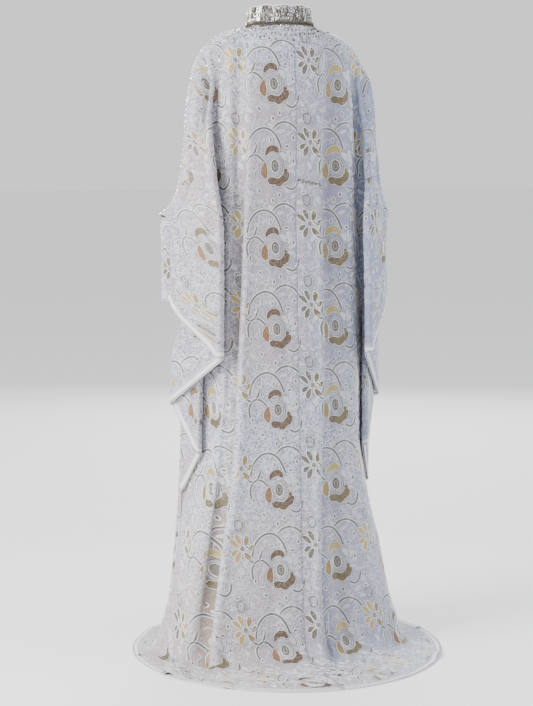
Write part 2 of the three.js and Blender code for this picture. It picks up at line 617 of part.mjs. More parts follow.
// Stand collar: a strip from centre front round the back to centre front, its
// outer points raised as upright ribs of beads and its top edge uneven
const COLLAR_COLUMNS = 72;
const COLLAR_RIB = 1.1;
const COLLAR_OPENING = 3;
const COLLAR_LIFT = 2.2;
function collarGeometry() {
  const points = [];
  const rows = [0, 0.5, 1];
  const quads = [];
  for (let c = 0; c <= COLLAR_COLUMNS; c += 1) {
    const share = c / COLLAR_COLUMNS;
    const a = 2 * Math.PI * share - Math.PI / 2;
    const front = a < 0 || a > Math.PI;
    const width = NECK_HALF_WIDTH - 0.5;
    const depth = (front ? NECK_FRONT_DEPTH : NECK_BACK_DEPTH) - 0.5;
    const sink = (front ? NECK_FRONT_DROP : NECK_BACK_RISE) * Math.sin(a);
    const open = COLLAR_OPENING / 2 * (1 - 2 * share) * (front ? Math.abs(Math.sin(a)) : 0);
    const rib = c % 2 === 0 ? COLLAR_RIB : 0;
    const crest = c % 6 < 3 ? 2.5 : 0;
    for (const row of rows) {
      const lean = 1 - 0.06 * row;
      const x = width * lean * Math.cos(a) + open;
      const y = depth * lean * Math.sin(a) + rib * Math.sin(a);
      const top = (COLLAR_HEIGHT + crest) * row;
      points.push(new THREE.Vector3(x + rib * Math.cos(a), y, NECK_SIDE_Z + sink + COLLAR_LIFT + top));
    }
  }
  for (let c = 0; c < COLLAR_COLUMNS; c += 1) {
    for (let r = 0; r + 1 < rows.length; r += 1) {
      const here = c * rows.length + r;
      quads.push([here, here + rows.length, here + rows.length + 1, here + 1]);
    }
  }
  return wallGeometry(points, quads, 2.2);
}

// The garment
const IVORY = { color: 0xe9e4de, roughness: 0.7, metalness: 0.0 };
const SILVER = { color: 0xc9c4ba, roughness: 0.4, metalness: 0.35 };
const kaftan = new THREE.Group();
kaftan.name = "kaftan";
function addPiece(name, geometry, look) {
  const mesh = new THREE.Mesh(geometry, new THREE.MeshStandardMaterial(look));
  mesh.name = name;
  kaftan.add(mesh);
}
const back = { front: false, wing: WING_BACK, centreShift: SEAM_GAP / 2 };
const front = { front: true, wing: WING_FRONT, torso: FRONT, centreShift: SEAM_GAP / 2 };
addPiece("back_left", panelGeometry({ ...back, mirror: 1, torso: BACK_LEFT }), IVORY);
addPiece("back_right", panelGeometry({ ...back, mirror: -1, torso: BACK_RIGHT }), IVORY);
addPiece("front_left", panelGeometry({ ...front, mirror: 1 }), IVORY);
addPiece("front_right", panelGeometry({ ...front, mirror: -1 }), IVORY);
addPiece("cuff_left", cuffGeometry(1), IVORY);
addPiece("cuff_right", cuffGeometry(-1), IVORY);
addPiece("collar", collarGeometry(), SILVER);

export default kaftan;
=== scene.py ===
"""Looks of the worn kaftan: draped brocade, corded flowers, beadwork and a plain studio.

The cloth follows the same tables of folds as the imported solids, so each piece lies on the
solid that it stands for. Millimetres are used for the cut and metres for the finished meshes.
"""

import logging
import math
from collections.abc import Callable
from dataclasses import dataclass, field
from enum import Enum

import bpy
import numpy as np
from mathutils import Matrix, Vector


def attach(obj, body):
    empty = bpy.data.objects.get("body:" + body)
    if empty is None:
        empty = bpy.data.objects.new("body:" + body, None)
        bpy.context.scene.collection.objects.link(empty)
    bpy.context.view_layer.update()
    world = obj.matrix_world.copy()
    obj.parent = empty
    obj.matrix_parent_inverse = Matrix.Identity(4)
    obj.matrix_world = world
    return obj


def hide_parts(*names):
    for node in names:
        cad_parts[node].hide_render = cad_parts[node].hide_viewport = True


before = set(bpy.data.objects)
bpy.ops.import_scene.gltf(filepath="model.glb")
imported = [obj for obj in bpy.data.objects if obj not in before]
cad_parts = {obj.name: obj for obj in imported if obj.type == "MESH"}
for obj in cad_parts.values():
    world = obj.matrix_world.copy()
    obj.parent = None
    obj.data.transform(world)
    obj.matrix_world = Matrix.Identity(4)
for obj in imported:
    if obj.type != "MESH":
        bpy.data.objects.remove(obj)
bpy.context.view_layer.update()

LOG = logging.getLogger("kaftan")
MM = 0.001
SEED = 11

# Driving sizes of the cut, in millimetres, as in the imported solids
FLOOR_Z = -1600.0
WALL = 1.6
SEAM_GAP = 0.7
LAYER_HALF_GAP = 1.9
SEAM_START_Z = -1191.0
SEAM_FLAT_Z = -1330.0
BELL_TOP_Z = -1560.0
HEM_RADIUS = 402.0
HEM_CENTRE_Y = 50.0
HEM_BACK_EXTRA = 14.0
HEM_SEAM_ANGLE = 94.0
NECK_HALF_WIDTH = 86.0
NECK_BACK_DEPTH = 64.0
NECK_FRONT_DEPTH = 84.0
NECK_SIDE_Z = -4.0
NECK_BACK_RISE = 4.0
NECK_FRONT_DROP = 26.0
CUFF_CENTRE = (268.0, -30.0)
CUFF_RADIUS = 40.0
CUFF_TOP_Z = -481.0
CUFF_BOTTOM_Z = -696.0
COLLAR_HEIGHT = 46.0
COLLAR_LIFT = 2.2

# The dressed cloth, in millimetres
SHELL_THICKNESS = 1.4
COLLAR_THICKNESS = 2.2
# Trough depth at which the painted shade in a fold is fullest
DEEPEST_FOLD = 26.0
SHOULDER_CALM = 0.3
PETAL_SWELL = 1.28
PETAL_MARGIN = 1.8
# Cords along a panel's lower edge: distance from the edge, width and height
EDGE_CORDS = ((0.0, 2.0, 1.0), (10.0, 17.0, 0.2), (20.0, 1.8, 0.7), (24.0, 1.3, 0.6))

# Fineness of the draped cloth
TORSO_STEPS = (14, 14, 6, 5, 6, 9, 7)
TURN_STEPS = (3, 5, 5, 3) * 4
WING_STEPS = (6, 7, 7, 6, 6, 8)
ARC_STEPS = 16
HANG_STEPS = 66
SKIRT_STEPS = 27
BELL_STEPS = 12
TRAIN_STEPS = 14
LEVEL_STEP = 4.0
LEVEL_SOFTNESS = 5
GRID_STEP = 5.0

TORSO = ("centre", "panel", "ridge", "neckA", "neckB", "valley", "crest", "flank")
WING = ("w1", "w2", "w3", "w4", "w5", "w6", "w7")
STACK = ("x", "y", "angle", "start", "turn1", "turn2", "turn3", "turn4",
         "half1", "half2", "half3", "half4")
TURNS = 4
MAIN_PIECES = len(TORSO) + 1
FIRST_SLEEVE_PIECE = len(TORSO) + 4 * TURNS - 1


@dataclass(frozen=True)
class Rows:
    """A table of values at falling heights, with one named column for each fold."""

    names: tuple[str, ...]
    rows: tuple[tuple, ...]

    def over(self, heights: np.ndarray) -> np.ndarray:
        """Values at each height, between the two rows that it lies between.

        Args:
            heights: heights in millimetres.

        Returns:
            One entry for each height, each shaped like a row without its height.
        """
        levels = np.array([row[0] for row in self.rows], float)
        values = np.array([row[1:] for row in self.rows], float)
        flat = values.reshape(len(levels), -1)
        mixed = [np.interp(-heights, -levels, column) for column in flat.T]
        return np.stack(mixed, 1).reshape(len(heights), *values.shape[1:])


# Folds of each panel: [x, y] of every crest or trough, a row for each level
BACK_LEFT = Rows(TORSO, (
    (-110, (0, 112), (45, 110), (112, 100), (119, 92), (126, 84), (134, 76), (156, 72), (170, 56)),
    (-220, (0, 124), (52, 123), (124, 113), (130, 103), (135, 92), (142, 82), (164, 84),
    (177, 56)),
    (-350, (0, 121), (54, 121), (129, 115), (134, 105), (138, 92), (143, 80), (166, 88),
    (181, 58)),
    (-480, (0, 117), (56, 118), (135, 116), (139, 106), (143, 92), (147, 80), (168, 88),
    (185, 54)),
    (-650, (0, 129), (60, 129), (145, 120), (149, 109), (152, 95), (156, 82), (173, 88),
    (190, 52)),
    (-800, (0, 137), (64, 137), (155, 124), (158, 113), (161, 98), (165, 86), (181, 90),
    (196, 44)),
    (-960, (0, 145), (70, 144), (166, 128), (169, 117), (172, 102), (176, 90), (190, 88),
    (199, 38)),
    (-1084, (0, 150), (75, 149), (177, 131), (180, 120), (184, 105), (188, 92), (200, 86),
    (202, 37)),
    (-1191, (0, 155), (80, 153), (188, 134), (191, 122), (195, 107), (199, 95), (216, 91),
    (230, 38)),
    (-1350, (0, 163), (88, 161), (207, 141), (211, 129), (215, 114), (220, 101), (240, 95),
    (262, 48)),
    (-1480, (0, 174), (96, 173), (227, 154), (231, 143), (235, 129), (240, 116), (263, 105),
    (286, 58)),
    (-1560, (0, 192), (108, 191), (252, 176), (257, 166), (261, 154), (266, 144), (293, 124),
    (312, 72)),
))

BACK_RIGHT = Rows(TORSO, (
    (-110, (0, 112), (30, 112), (68, 110), (78, 100), (88, 90), (98, 84), (144, 84), (168, 56)),
    (-220, (0, 124), (30, 125), (66, 122), (76, 110), (85, 98), (95, 90), (146, 98), (175, 58)),
    (-350, (0, 121), (30, 123), (65, 123), (75, 108), (85, 93), (96, 84), (150, 102), (180, 60)),
    (-480, (0, 117), (30, 120), (66, 121), (77, 106), (87, 91), (98, 82), (154, 102), (184, 56)),
    (-650, (0, 129), (30, 131), (68, 131), (79, 115), (90, 98), (101, 88), (159, 104), (190, 54)),
    (-800, (0, 137), (30, 139), (67, 139), (79, 122), (91, 104), (102, 94), (165, 104), (196, 44)),
    (-960, (0, 145), (29, 147), (65, 147), (78, 129), (91, 110), (104, 98), (172, 106), (199, 38)),
    (-1084, (0, 150), (29, 152), (64, 152), (77, 134), (91, 114), (105, 102), (180, 106),
    (202, 37)),
    (-1191, (0, 155), (29, 158), (63, 158), (77, 139), (92, 118), (107, 106), (190, 118),
    (230, 40)),
    (-1350, (0, 163), (29, 166), (63, 167), (79, 147), (94, 126), (110, 114), (206, 130),
    (262, 48)),
    (-1480, (0, 174), (30, 178), (65, 180), (81, 160), (98, 140), (115, 129), (223, 142),
    (286, 60)),
    (-1560, (0, 192), (32, 197), (71, 200), (88, 182), (105, 166), (122, 156), (246, 164),
    (312, 74)),
))

FRONT = Rows(TORSO, (
    (-110, (0, -112), (45, -110), (92, -98), (102, -92), (112, -84), (124, -76), (152, -68),
    (170, -54)),
    (-220, (0, -132), (50, -130), (102, -121), (112, -112), (122, -102), (134, -92), (160, -86),
    (179, -58)),
    (-350, (0, -138), (52, -136), (108, -127), (117, -117), (126, -106), (137, -95), (164, -90),
    (184, -58)),
    (-480, (0, -132), (54, -131), (114, -122), (122, -112), (131, -101), (141, -91), (166, -86),
    (190, -48)),
    (-650, (0, -134), (58, -134), (124, -126), (132, -116), (140, -105), (149, -95), (174, -86),
    (200, -40)),
    (-800, (0, -138), (62, -138), (134, -132), (142, -121), (150, -109), (159, -99), (192, -96),
    (232, -64)),
    (-960, (0, -144), (68, -145), (149, -139), (157, -128), (165, -116), (174, -106), (210, -106),
    (248, -70)),
    (-1191, (0, -152), (76, -153), (169, -149), (177, -138), (185, -126), (194, -116), (230, -108),
    (262, -62)),
    (-1350, (0, -158), (82, -160), (184, -156), (192, -145), (200, -132), (210, -121), (246, -104),
    (276, -54)),
    (-1480, (0, -166), (90, -169), (200, -168), (208, -157), (217, -145), (226, -136), (263, -110),
    (293, -50)),
    (-1560, (0, -182), (100, -186), (222, -184), (231, -174), (240, -164), (250, -154),
    (290, -120), (318, -52)),
))

WING_BACK = Rows(WING, (
    (-220, (226, 51), (238, 44), (246, 36), (250, 28), (252, 22), (254, 16), (256, 10)),
    (-350, (222, 72), (238, 58), (251, 38), (258, 30), (264, 22), (270, 14), (276, 8)),
    (-480, (231, 92), (248, 73), (263, 53), (276, 36), (286, 22), (290, 14), (292, 10)),
    (-650, (223, 104), (243, 82), (263, 59), (280, 37), (292, 18), (297, 8), (299, 3)),
    (-800, (223, 102), (243, 80), (263, 56), (280, 33), (293, 14), (299, 4), (302, -1)),
))

WING_FRONT = Rows(WING, (
    (-220, (216, -47), (229, -46), (238, -42), (244, -38), (250, -34), (255, -31), (258, -30)),
    (-350, (217, -40), (222, -47), (233, -55), (242, -57), (250, -57), (262, -56), (280, -58)),
    (-415, (237, 10), (235, -2), (219, -20), (215, -46), (226, -66), (250, -80), (290, -71)),
    (-480, (257, 32), (262, 23), (246, 8), (222, -8), (212, -40), (240, -88), (290, -71)),
    (-560, (252, 44), (263, 30), (256, 14), (228, 3), (216, -39), (242, -88), (290, -71)),
    (-650, (229, 73), (262, 42), (261, 17), (230, 4), (216, -39), (242, -88), (290, -71)),
    (-700, (225, 84), (259, 48), (270, 12), (240, 4), (216, -39), (242, -88), (290, -71)),
    (-760, (221, 97), (241, 75), (264, 46), (276, 24), (282, 4), (288, -10), (292, -20)),
    (-830, (220, 98), (240, 76), (260, 52), (277, 29), (290, 10), (296, 0), (299, -5)),
))

STACK_BACK = Rows(STACK, (
    (-110, 182, 50, -12, -9, 0, 0, 0, 0, 2.4, 2.4, 2.4, 3.0),
    (-220, 193, 42, 0, -10, 6, 6, 6, -13, 3.0, 2.8, 2.8, 6.0),
    (-350, 203, 45, 20, -12, 10, 10, 10, -42, 4.4, 3.8, 3.8, 8.0),
    (-480, 218, 30, 34, -12, 0, 0, 0, -80, 5.2, 4.6, 4.6, 8.0),
    (-650, 220, 30, 34, -12, 8, -2, 18, -88, 6.0, 6.0, 6.0, 7.5),
    (-700, 220, 30, 34, -12, 10, -2, 17, -88, 6.0, 6.0, 6.0, 7.5),
    (-760, 220, 30, 34, -12, 44, 0, 58, -88, 6.0, 6.0, 6.0, 7.5),
    (-830, 220, 30, 34, -12, 64, 0, 80, -88, 6.2, 6.2, 6.2, 7.5),
    (-960, 220, 30, 34, -12, 72, 2, 88, -80, 6.2, 6.2, 6.2, 7.5),
    (-1191, 220, 30, 34, -12, 76, 8, 84, -70, 6.2, 6.2, 6.2, 7.5),
))

STACK_FRONT = Rows(STACK, (
    (-110, 184, -47, 8, -9, 0, 0, 0, 0, 2.4, 2.4, 2.4, 3.0),
    (-220, 197, -42, 0, -12, 0, 0, 0, 0, 3.2, 3.2, 3.2, 3.2),
    (-350, 203, -34, 4, -13, 0, 0, 0, 0, 3.4, 3.4, 3.4, 3.4),
    (-415, 214, 0, 28, -11, 4, 4, 4, 3, 4.4, 4.0, 4.0, 4.6),
    (-480, 219, 30, 34, -11, 13, 13, 13, 10, 5.4, 4.8, 4.8, 6.2),
))

ARM_LINE = Rows(("x", "y"), (
    (-100, 204, 0), (-290, 214, -4), (-400, 232, -12), (-465, 264, -29), (-520, 268, -30),
))

SEAM_LINE = Rows(("x", "y"), (
    (-1191, 258, -36), (-1350, 277, -6), (-1480, 299, 4), (-1560, 324, 10),
))

# Top line out along shoulder and arm: x, y, z and how far the cloth drops in rounding over
TOP_NECK = ((0, 1, 110), (24, 1.07, 110), (49, 1.05, 105), (75, 1.03, 100), (90, 1, 100))
TOP_SHOULDER = ((112, -2, -9, 98), (138, -3, -15, 94), (158, -4, -22, 90))
TOP_STACK = ((164, -25), (167, -27), (170, -29), (173, -31), (176, -33), (179, -35), (182, -37),
             (185, -40), (188, -43), (191, -46), (194, -49), (197, -52), (200, -56), (203, -60),
             (207, -65), (212, -72))
TOP_STACK_Y = -5
TOP_STACK_DROP = 82
TOP_WING = ((229, -5, -105, 80), (245, -6, -185, 88), (254, -8, -290, 88), (264, -12, -385, 80),
            (276, -19, -440, 38), (297, -27, -466, 38), (312, -30, -474, 28))
TURN_END_Z = (SEAM_START_Z, -1084, -961, -830)
WING_END_BACK = (-806, -783, -760, -738, -715, -698, -688)
WING_END_FRONT = (-804, -775, -712, -640, -572, -526, -512)


def smooth(share: np.ndarray) -> np.ndarray:
    """Ease a share from 0 to 1."""
    return share * share * (3 - 2 * share)


def lerp(a: np.ndarray, b: np.ndarray, share: float) -> np.ndarray:
    """Value between two others."""
    return a + (b - a) * share


def unit(vectors: np.ndarray) -> np.ndarray:
    """Vectors at length one."""
    return vectors / np.maximum(np.linalg.norm(vectors, axis=-1, keepdims=True), 1e-9)


class Side(Enum):
    """Side of the wearer that a piece belongs to."""

    LEFT = 1
    RIGHT = -1


@dataclass(frozen=True)
class Crease:
    """One soft trough or ridge pressed into the cloth, placed one by one."""

    across: float
    top: float
    bottom: float
    depth: float
    width: float
    lean: float = 0.0

    INNER_SIDE = 0.55

    def depth_at(self, across: np.ndarray, level: np.ndarray) -> np.ndarray:
        """Height of the cloth over its drape along this crease, in millimetres.

        Args:
            across: distances from the centre seam.
            level: levels down the cloth.

        Returns:
            Positive on a ridge and negative in a trough.
        """
        share = np.clip((self.top - level) / (self.top - self.bottom), 0, 1)
        fade = np.sin(np.pi * share) ** 1.5
        shift = across - self.across - self.lean * (self.top - level)
        width = np.where((shift < 0) & (self.depth < 0), self.width * self.INNER_SIDE, self.width)
        return self.depth * fade * np.exp(-(shift / width) ** 2)


@dataclass
class PanelCut:
    """One panel of the kaftan as a fine net of points on its drape.

    Sections at each level run from the centre seam over the torso's folds, through the folded
    cascade and out along the sleeve; rows run from the top line down to the edge.
    """

    name: str
    side: Side
    front: bool
    torso: Rows
    creases: tuple[Crease, ...]
    points: np.ndarray = field(init=False)
    rows: np.ndarray = field(init=False)
    level: np.ndarray = field(init=False)
    across: np.ndarray = field(init=False)
    normals: np.ndarray = field(init=False)

    def __post_init__(self) -> None:
        """Work out the drape, the distances on the cloth and its outward normals."""
        self.columns = self.column_places()
        self.weights = self.spline_weights()
        self.levels = np.arange(0.0, BELL_TOP_Z - LEVEL_STEP, -LEVEL_STEP)
        self.sections = self.soften(np.einsum("cp,lpk->lck", self.weights,
                                              self.control(self.levels)))
        self.drape()
        self.measure()
        self.normals = self.net_normals()
        self.press_creases()

    def column_places(self) -> list[tuple[int, float]]:
        """Piece of the section and place along it for every column.

        Returns:
            One pair of piece number and share for each column.
        """
        places = [(1, 0.0)]
        for piece, steps in enumerate(TORSO_STEPS + TURN_STEPS + WING_STEPS, start=1):
            places += [(piece, step / steps) for step in range(1, steps + 1)]
        return places

    def spline_weights(self) -> np.ndarray:
        """Share of each control point in each column, for a clamped quadratic spline.

        Returns:
            Shares by column and control point.
        """
        count = len(TORSO) + 4 * TURNS + len(WING)
        weights = np.zeros((len(self.columns), count))
        for row, (piece, t) in zip(weights, self.columns):
            start, end = (1 - t) ** 2, t * t
            row[piece] += 2 * t * (1 - t)
            first, last = piece == 1, piece == count - 2
            row[piece - 1] += start if first else start / 2
            row[piece] += 0 if first else start / 2
            row[piece + 1] += end if last else end / 2
            row[piece] += 0 if last else end / 2
        return weights

    def control(self, levels: np.ndarray) -> np.ndarray:
        """Control points of the sections.

        Args:
            levels: heights in millimetres.

        Returns:
            Points by level and control point.
        """
        torso = self.torso.over(levels)
        stack_rows = STACK_BACK
        if self.front:
            stack_rows = Rows(STACK, STACK_FRONT.rows + STACK_BACK.rows[4:])
        turns = self.stack_points(stack_rows.over(levels), levels)
        if self.front:
            turns[:, 0] = lerp(torso[:, -1], turns[:, 1], 0.7)
        self.open_seam(levels, turns)
        wing = (WING_FRONT if self.front else WING_BACK).over(levels)
        return np.concatenate([torso, turns, wing], 1)

    def stack_points(self, rows: np.ndarray, levels: np.ndarray) -> np.ndarray:
        """Four control points round each turn of the cascade.

        Args:
            rows: the cascade's table at each level.
            levels: the levels.

        Returns:
            Points by level and control point.
        """
        nested = np.clip((-480 - levels) / 40, 0, 1)
        layer = LAYER_HALF_GAP if self.front else -LAYER_HALF_GAP
        angle = np.radians(rows[:, 2])
        across = np.stack([np.cos(angle), np.sin(angle)], 1)
        out = np.stack([np.sin(angle), -np.cos(angle)], 1)
        turn, halves = rows[:, 4:8], rows[:, 8:12]
        lateral = rows[:, 3].copy()
        points = []
        for k in range(TURNS):
            outward = 1 if k % 2 == 0 else -1
            half = halves[:, k] + layer * outward * nested
            middle = lateral + halves[:, k]
            reach = turn[:, k] + layer * nested
            before = np.abs(turn[:, k] - turn[:, k - 1]) if k else np.abs(turn[:, 0]) + 30
            after = np.abs(turn[:, k + 1] - turn[:, k]) if k + 1 < TURNS else 60.0 + 0 * reach
            for leg, way in ((before, -1), (None, -1), (None, 1), (after, 1)):
                back = 0 if leg is None else outward * np.minimum(1.5 * half, 0.42 * leg)
                far, wide = reach - back, middle + way * half
                points.append(rows[:, :2] + out * far[:, None] + across * wide[:, None])
            lateral = lateral + 2 * halves[:, k]
        return np.stack(points, 1)

    def open_seam(self, levels: np.ndarray, turns: np.ndarray) -> None:
        """Open the flank out to a plain side seam below the cascade.

        Args:
            levels: the levels.
            turns: the cascade's control points, changed in place.
        """
        share = smooth(np.clip((SEAM_START_Z - levels) / (SEAM_START_Z - SEAM_FLAT_Z), 0, 1))
        way = -1 if self.front else 1
        end = SEAM_LINE.over(levels) + np.array([0, way * SEAM_GAP / 2])
        near = end + np.array([-0.5, way * 14])
        targets = (end + np.array([-9, way * 42]), near, 2 * end - near)
        for k, target in enumerate(targets):
            turns[:, k] = lerp(turns[:, k], target, share[:, None])

    def soften(self, sections: np.ndarray) -> np.ndarray:
        """Round the table's rows into each other along the height.

        Args:
            sections: points by level and column.

        Returns:
            The same points, smoothed along the height.
        """
        reach = np.arange(-2 * LEVEL_SOFTNESS, 2 * LEVEL_SOFTNESS + 1)
        kernel = np.exp(-0.5 * (reach / LEVEL_SOFTNESS) ** 2)
        kernel /= kernel.sum()
        padded = np.concatenate([np.repeat(sections[:1], reach[-1], 0), sections,
                                 np.repeat(sections[-1:], reach[-1], 0)])
        return sum(w * padded[k:k + len(sections)] for k, w in enumerate(kernel))

    def plan(self, column: int, heights: np.ndarray) -> np.ndarray:
        """Plan positions of one column at some heights.

        Args:
            column: which column.
            heights: heights in millimetres.

        Returns:
            An x and a y for each height.
        """
        xs, ys = self.sections[:, column].T
        return np.stack([np.interp(-heights, -self.levels, xs),
                         np.interp(-heights, -self.levels, ys)], 1)

    def top_line(self) -> np.ndarray:
        """Control points of the top line: x, y, z and drop.

        Returns:
            One row for each control point.
        """
        depth = -NECK_FRONT_DEPTH if self.front else NECK_BACK_DEPTH
        rise = -NECK_FRONT_DROP if self.front else NECK_BACK_RISE
        rows = []
        for turn, swell, drop in TOP_NECK:
            u = math.cos(math.radians(turn))
            x = NECK_HALF_WIDTH * math.sin(math.radians(turn)) * swell
            rows.append((x, depth * u * swell, NECK_SIDE_Z + rise * u, drop))
        rows += TOP_SHOULDER
        rows += [(x, TOP_STACK_Y, z, TOP_STACK_DROP) for x, z in TOP_STACK]
        rows += TOP_WING
        return np.array(rows, float)

    def end_heights(self) -> np.ndarray:
        """Control heights of the lower edge above the side seam.

        Returns:
            One height for each control point.
        """
        ends = [SEAM_START_Z] * len(TORSO)
        for k, end in enumerate(TURN_END_Z):
            before = lerp(end, TURN_END_Z[k - 1], 0.08) if k else SEAM_START_Z
            after = lerp(end, TURN_END_Z[k + 1], 0.08) if k + 1 < TURNS else end
            ends += [before, end, end, after]
        ends += WING_END_FRONT if self.front else WING_END_BACK
        return np.array(ends, float)

    def over_shoulder(self, start: np.ndarray, end: np.ndarray, turn: np.ndarray) -> np.ndarray:
        """Plan positions of cloth that rounds over the shoulder from its seam."""
        x = lerp(start[0], end[0], smooth(1 - np.cos(turn)))
        return np.stack([x, lerp(start[1], end[1], np.sin(turn))], 1)

    def round_arm(self, start: np.ndarray, end: np.ndarray, turn: np.ndarray) -> np.ndarray:
        """Plan positions of cloth that turns round the arm from the top line.

        Args:
            start: point on the top line.
            end: point where the cloth hangs free.
            turn: turns from 0 to a quarter circle.

        Returns:
            An x and a y for each turn.
        """
        radii, angles = [], []
        for x, y, z in (start, end):
            cx, cy = ARM_LINE.over(np.array([z]))[0]
            radii.append(math.hypot(x - cx, y - cy))
            angles.append(math.atan2(y - cy, x - cx))
        full = 2 * math.pi
        if self.front:
            last = angles[1] - full * math.ceil((angles[1] - angles[0]) / full)
        else:
            last = angles[1] + full * math.ceil((angles[0] - angles[1]) / full)
        share = np.sin(turn)
        middle = ARM_LINE.over(lerp(start[2], end[2], 1 - np.cos(turn)))
        radius = lerp(radii[0], radii[1], smooth(share))
        angle = lerp(angles[0], last, share)
        return middle + np.stack([radius * np.cos(angle), radius * np.sin(angle)], 1)

    def drape(self) -> None:
        """Hang every column from the top line to its lower edge."""
        tops = self.weights @ self.top_line()
        ends = self.weights @ self.end_heights()
        main = sum(piece <= MAIN_PIECES for piece, _ in self.columns)
        long_rows = ARC_STEPS + HANG_STEPS + SKIRT_STEPS + BELL_STEPS + TRAIN_STEPS + 1
        short_rows = ARC_STEPS + HANG_STEPS + 1
        self.points = np.full((len(self.columns), long_rows, 3), np.nan)
        self.level = np.full(self.points.shape[:2], np.nan)
        self.rows = np.where(np.arange(len(self.columns)) < main, long_rows, short_rows)
        foot = self.sections[-1, :main]
        reach = np.concatenate([[0], np.cumsum(np.linalg.norm(np.diff(foot, axis=0), axis=1))])
        seam_y = (-1 if self.front else 1) * SEAM_GAP / 2
        for c, (piece, _) in enumerate(self.columns):
            x, y, z, drop = tops[c]
            turn = np.linspace(0, math.pi / 2, ARC_STEPS + 1)
            start = np.array([x, y + seam_y, z])
            end = np.append(self.plan(c, np.array([z - drop]))[0], z - drop)
            flat = self.over_shoulder(start, end, turn)
            if piece > FIRST_SLEEVE_PIECE:
                wrap = self.round_arm(start, end, turn)
                share = min(1.0, (piece - FIRST_SLEEVE_PIECE - 1 + self.columns[c][1]) / 0.9)
                flat = lerp(flat, wrap, share)
            arc = np.column_stack([flat, z - drop * (1 - np.cos(turn))])
            heights = np.linspace(z - drop, ends[c], HANG_STEPS + 1)[1:]
            parts = [arc, np.column_stack([self.plan(c, heights), heights])]
            if c < main:
                skirt = np.linspace(ends[c], BELL_TOP_Z, SKIRT_STEPS + 1)[1:]
                parts.append(np.column_stack([self.plan(c, skirt), skirt]))
                parts.append(self.bell(parts[-1][-1, :2], reach[c] / reach[-1]))
            column = np.concatenate(parts)
            self.points[c, :len(column)] = column
            self.level[c, :len(column)] = self.column_levels(column)
        if self.side is Side.RIGHT:
            self.points[..., 0] *= -1
        self.points[0, :, 0] += self.side.value * SEAM_GAP / 2

    def bell(self, foot: np.ndarray, share: float) -> np.ndarray:
        """Cloth from the bell's top on to the floor and out to the hem.

        Args:
            foot: plan position at the bell's top.
            share: how far round the column lies from the centre seam to the side seam.

        Returns:
            The column's last points.
        """
        turned = share * HEM_SEAM_ANGLE
        if self.front:
            turned = 180 - share * (180 - HEM_SEAM_ANGLE)
        angle = math.radians(turned)
        radius = HEM_RADIUS + HEM_BACK_EXTRA * max(0.0, math.cos(angle)) ** 2
        hem = np.array([radius * math.sin(angle), HEM_CENTRE_Y + radius * math.cos(angle)])
        knee, land = lerp(foot, hem, 0.1), lerp(foot, hem, 0.34)
        floor = FLOOR_Z + WALL / 2
        u = np.linspace(0, 1, BELL_STEPS + 1)[1:, None]
        plan = (1 - u) ** 2 * foot + 2 * (1 - u) * u * knee + u * u * land
        z = (1 - u) ** 2 * BELL_TOP_Z + (1 - (1 - u) ** 2) * floor
        out = lerp(land, hem, np.linspace(0, 1, TRAIN_STEPS + 1)[1:, None])
        train = np.column_stack([out, np.full(TRAIN_STEPS, floor)])
        return np.concatenate([np.hstack([plan, z]), train])

    def column_levels(self, column: np.ndarray) -> np.ndarray:
        """Level of each point: its height where it hangs, and length on where it turns.

        Args:
            column: the column's points from the top.

        Returns:
            One level for each point.
        """
        steps = np.linalg.norm(np.diff(column, axis=0), axis=1)
        level = column[:, 2].copy()
        level[:ARC_STEPS] = level[ARC_STEPS] + np.cumsum(steps[:ARC_STEPS][::-1])[::-1]
        floor_from = ARC_STEPS + HANG_STEPS + SKIRT_STEPS
        if len(column) > floor_from + 1:
            level[floor_from + 1:] = level[floor_from] - np.cumsum(steps[floor_from:])
        return level

    def measure(self) -> None:
        """Resample the drape by level and find each point's distance from the centre seam."""
        low, high = np.nanmin(self.level), np.nanmax(self.level)
        self.grid_levels = np.arange(math.ceil(low), high, GRID_STEP)
        lines = self.resample(self.points)
        self.spread = np.full(lines.shape[:2], np.nan)
        for k in range(len(self.grid_levels)):
            used = self.run_of(~np.isnan(lines[:, k, 0]))
            steps = np.linalg.norm(np.diff(lines[used, k], axis=0), axis=1)
            start = self.spread[used[0], k - 1] if k and used[0] else 0.0
            self.spread[used, k] = np.nan_to_num(start) + np.concatenate([[0], np.cumsum(steps)])
        self.across = np.full(self.level.shape, np.nan)
        for c in range(len(self.columns)):
            known = ~np.isnan(self.spread[c])
            self.across[c, :self.rows[c]] = np.interp(
                self.level[c, :self.rows[c]], self.grid_levels[known], self.spread[c, known])

    @staticmethod
    def run_of(valid: np.ndarray) -> np.ndarray:
        """Indices of the first unbroken run of true values.

        Args:
            valid: true where a point is known.

        Returns:
            The indices of that run.
        """
        found = np.flatnonzero(valid)
        broken = np.flatnonzero(np.diff(found) > 1)
        return found[:broken[0] + 1] if len(broken) else found

    def net_normals(self) -> np.ndarray:
        """Outward normals of the net.

        Returns:
            A direction for each point.
        """
        filled = self.points.copy()
        for c in range(len(self.columns)):
            filled[c, self.rows[c]:] = filled[c, self.rows[c] - 1]
        along = np.gradient(filled, axis=0)
        down = np.gradient(filled, axis=1)
        normals = unit(np.cross(down, along))
        middle = normals[0, ARC_STEPS + HANG_STEPS // 2, 1]
        outward = -1 if self.front else 1
        return normals * (1 if middle * outward > 0 else -1)

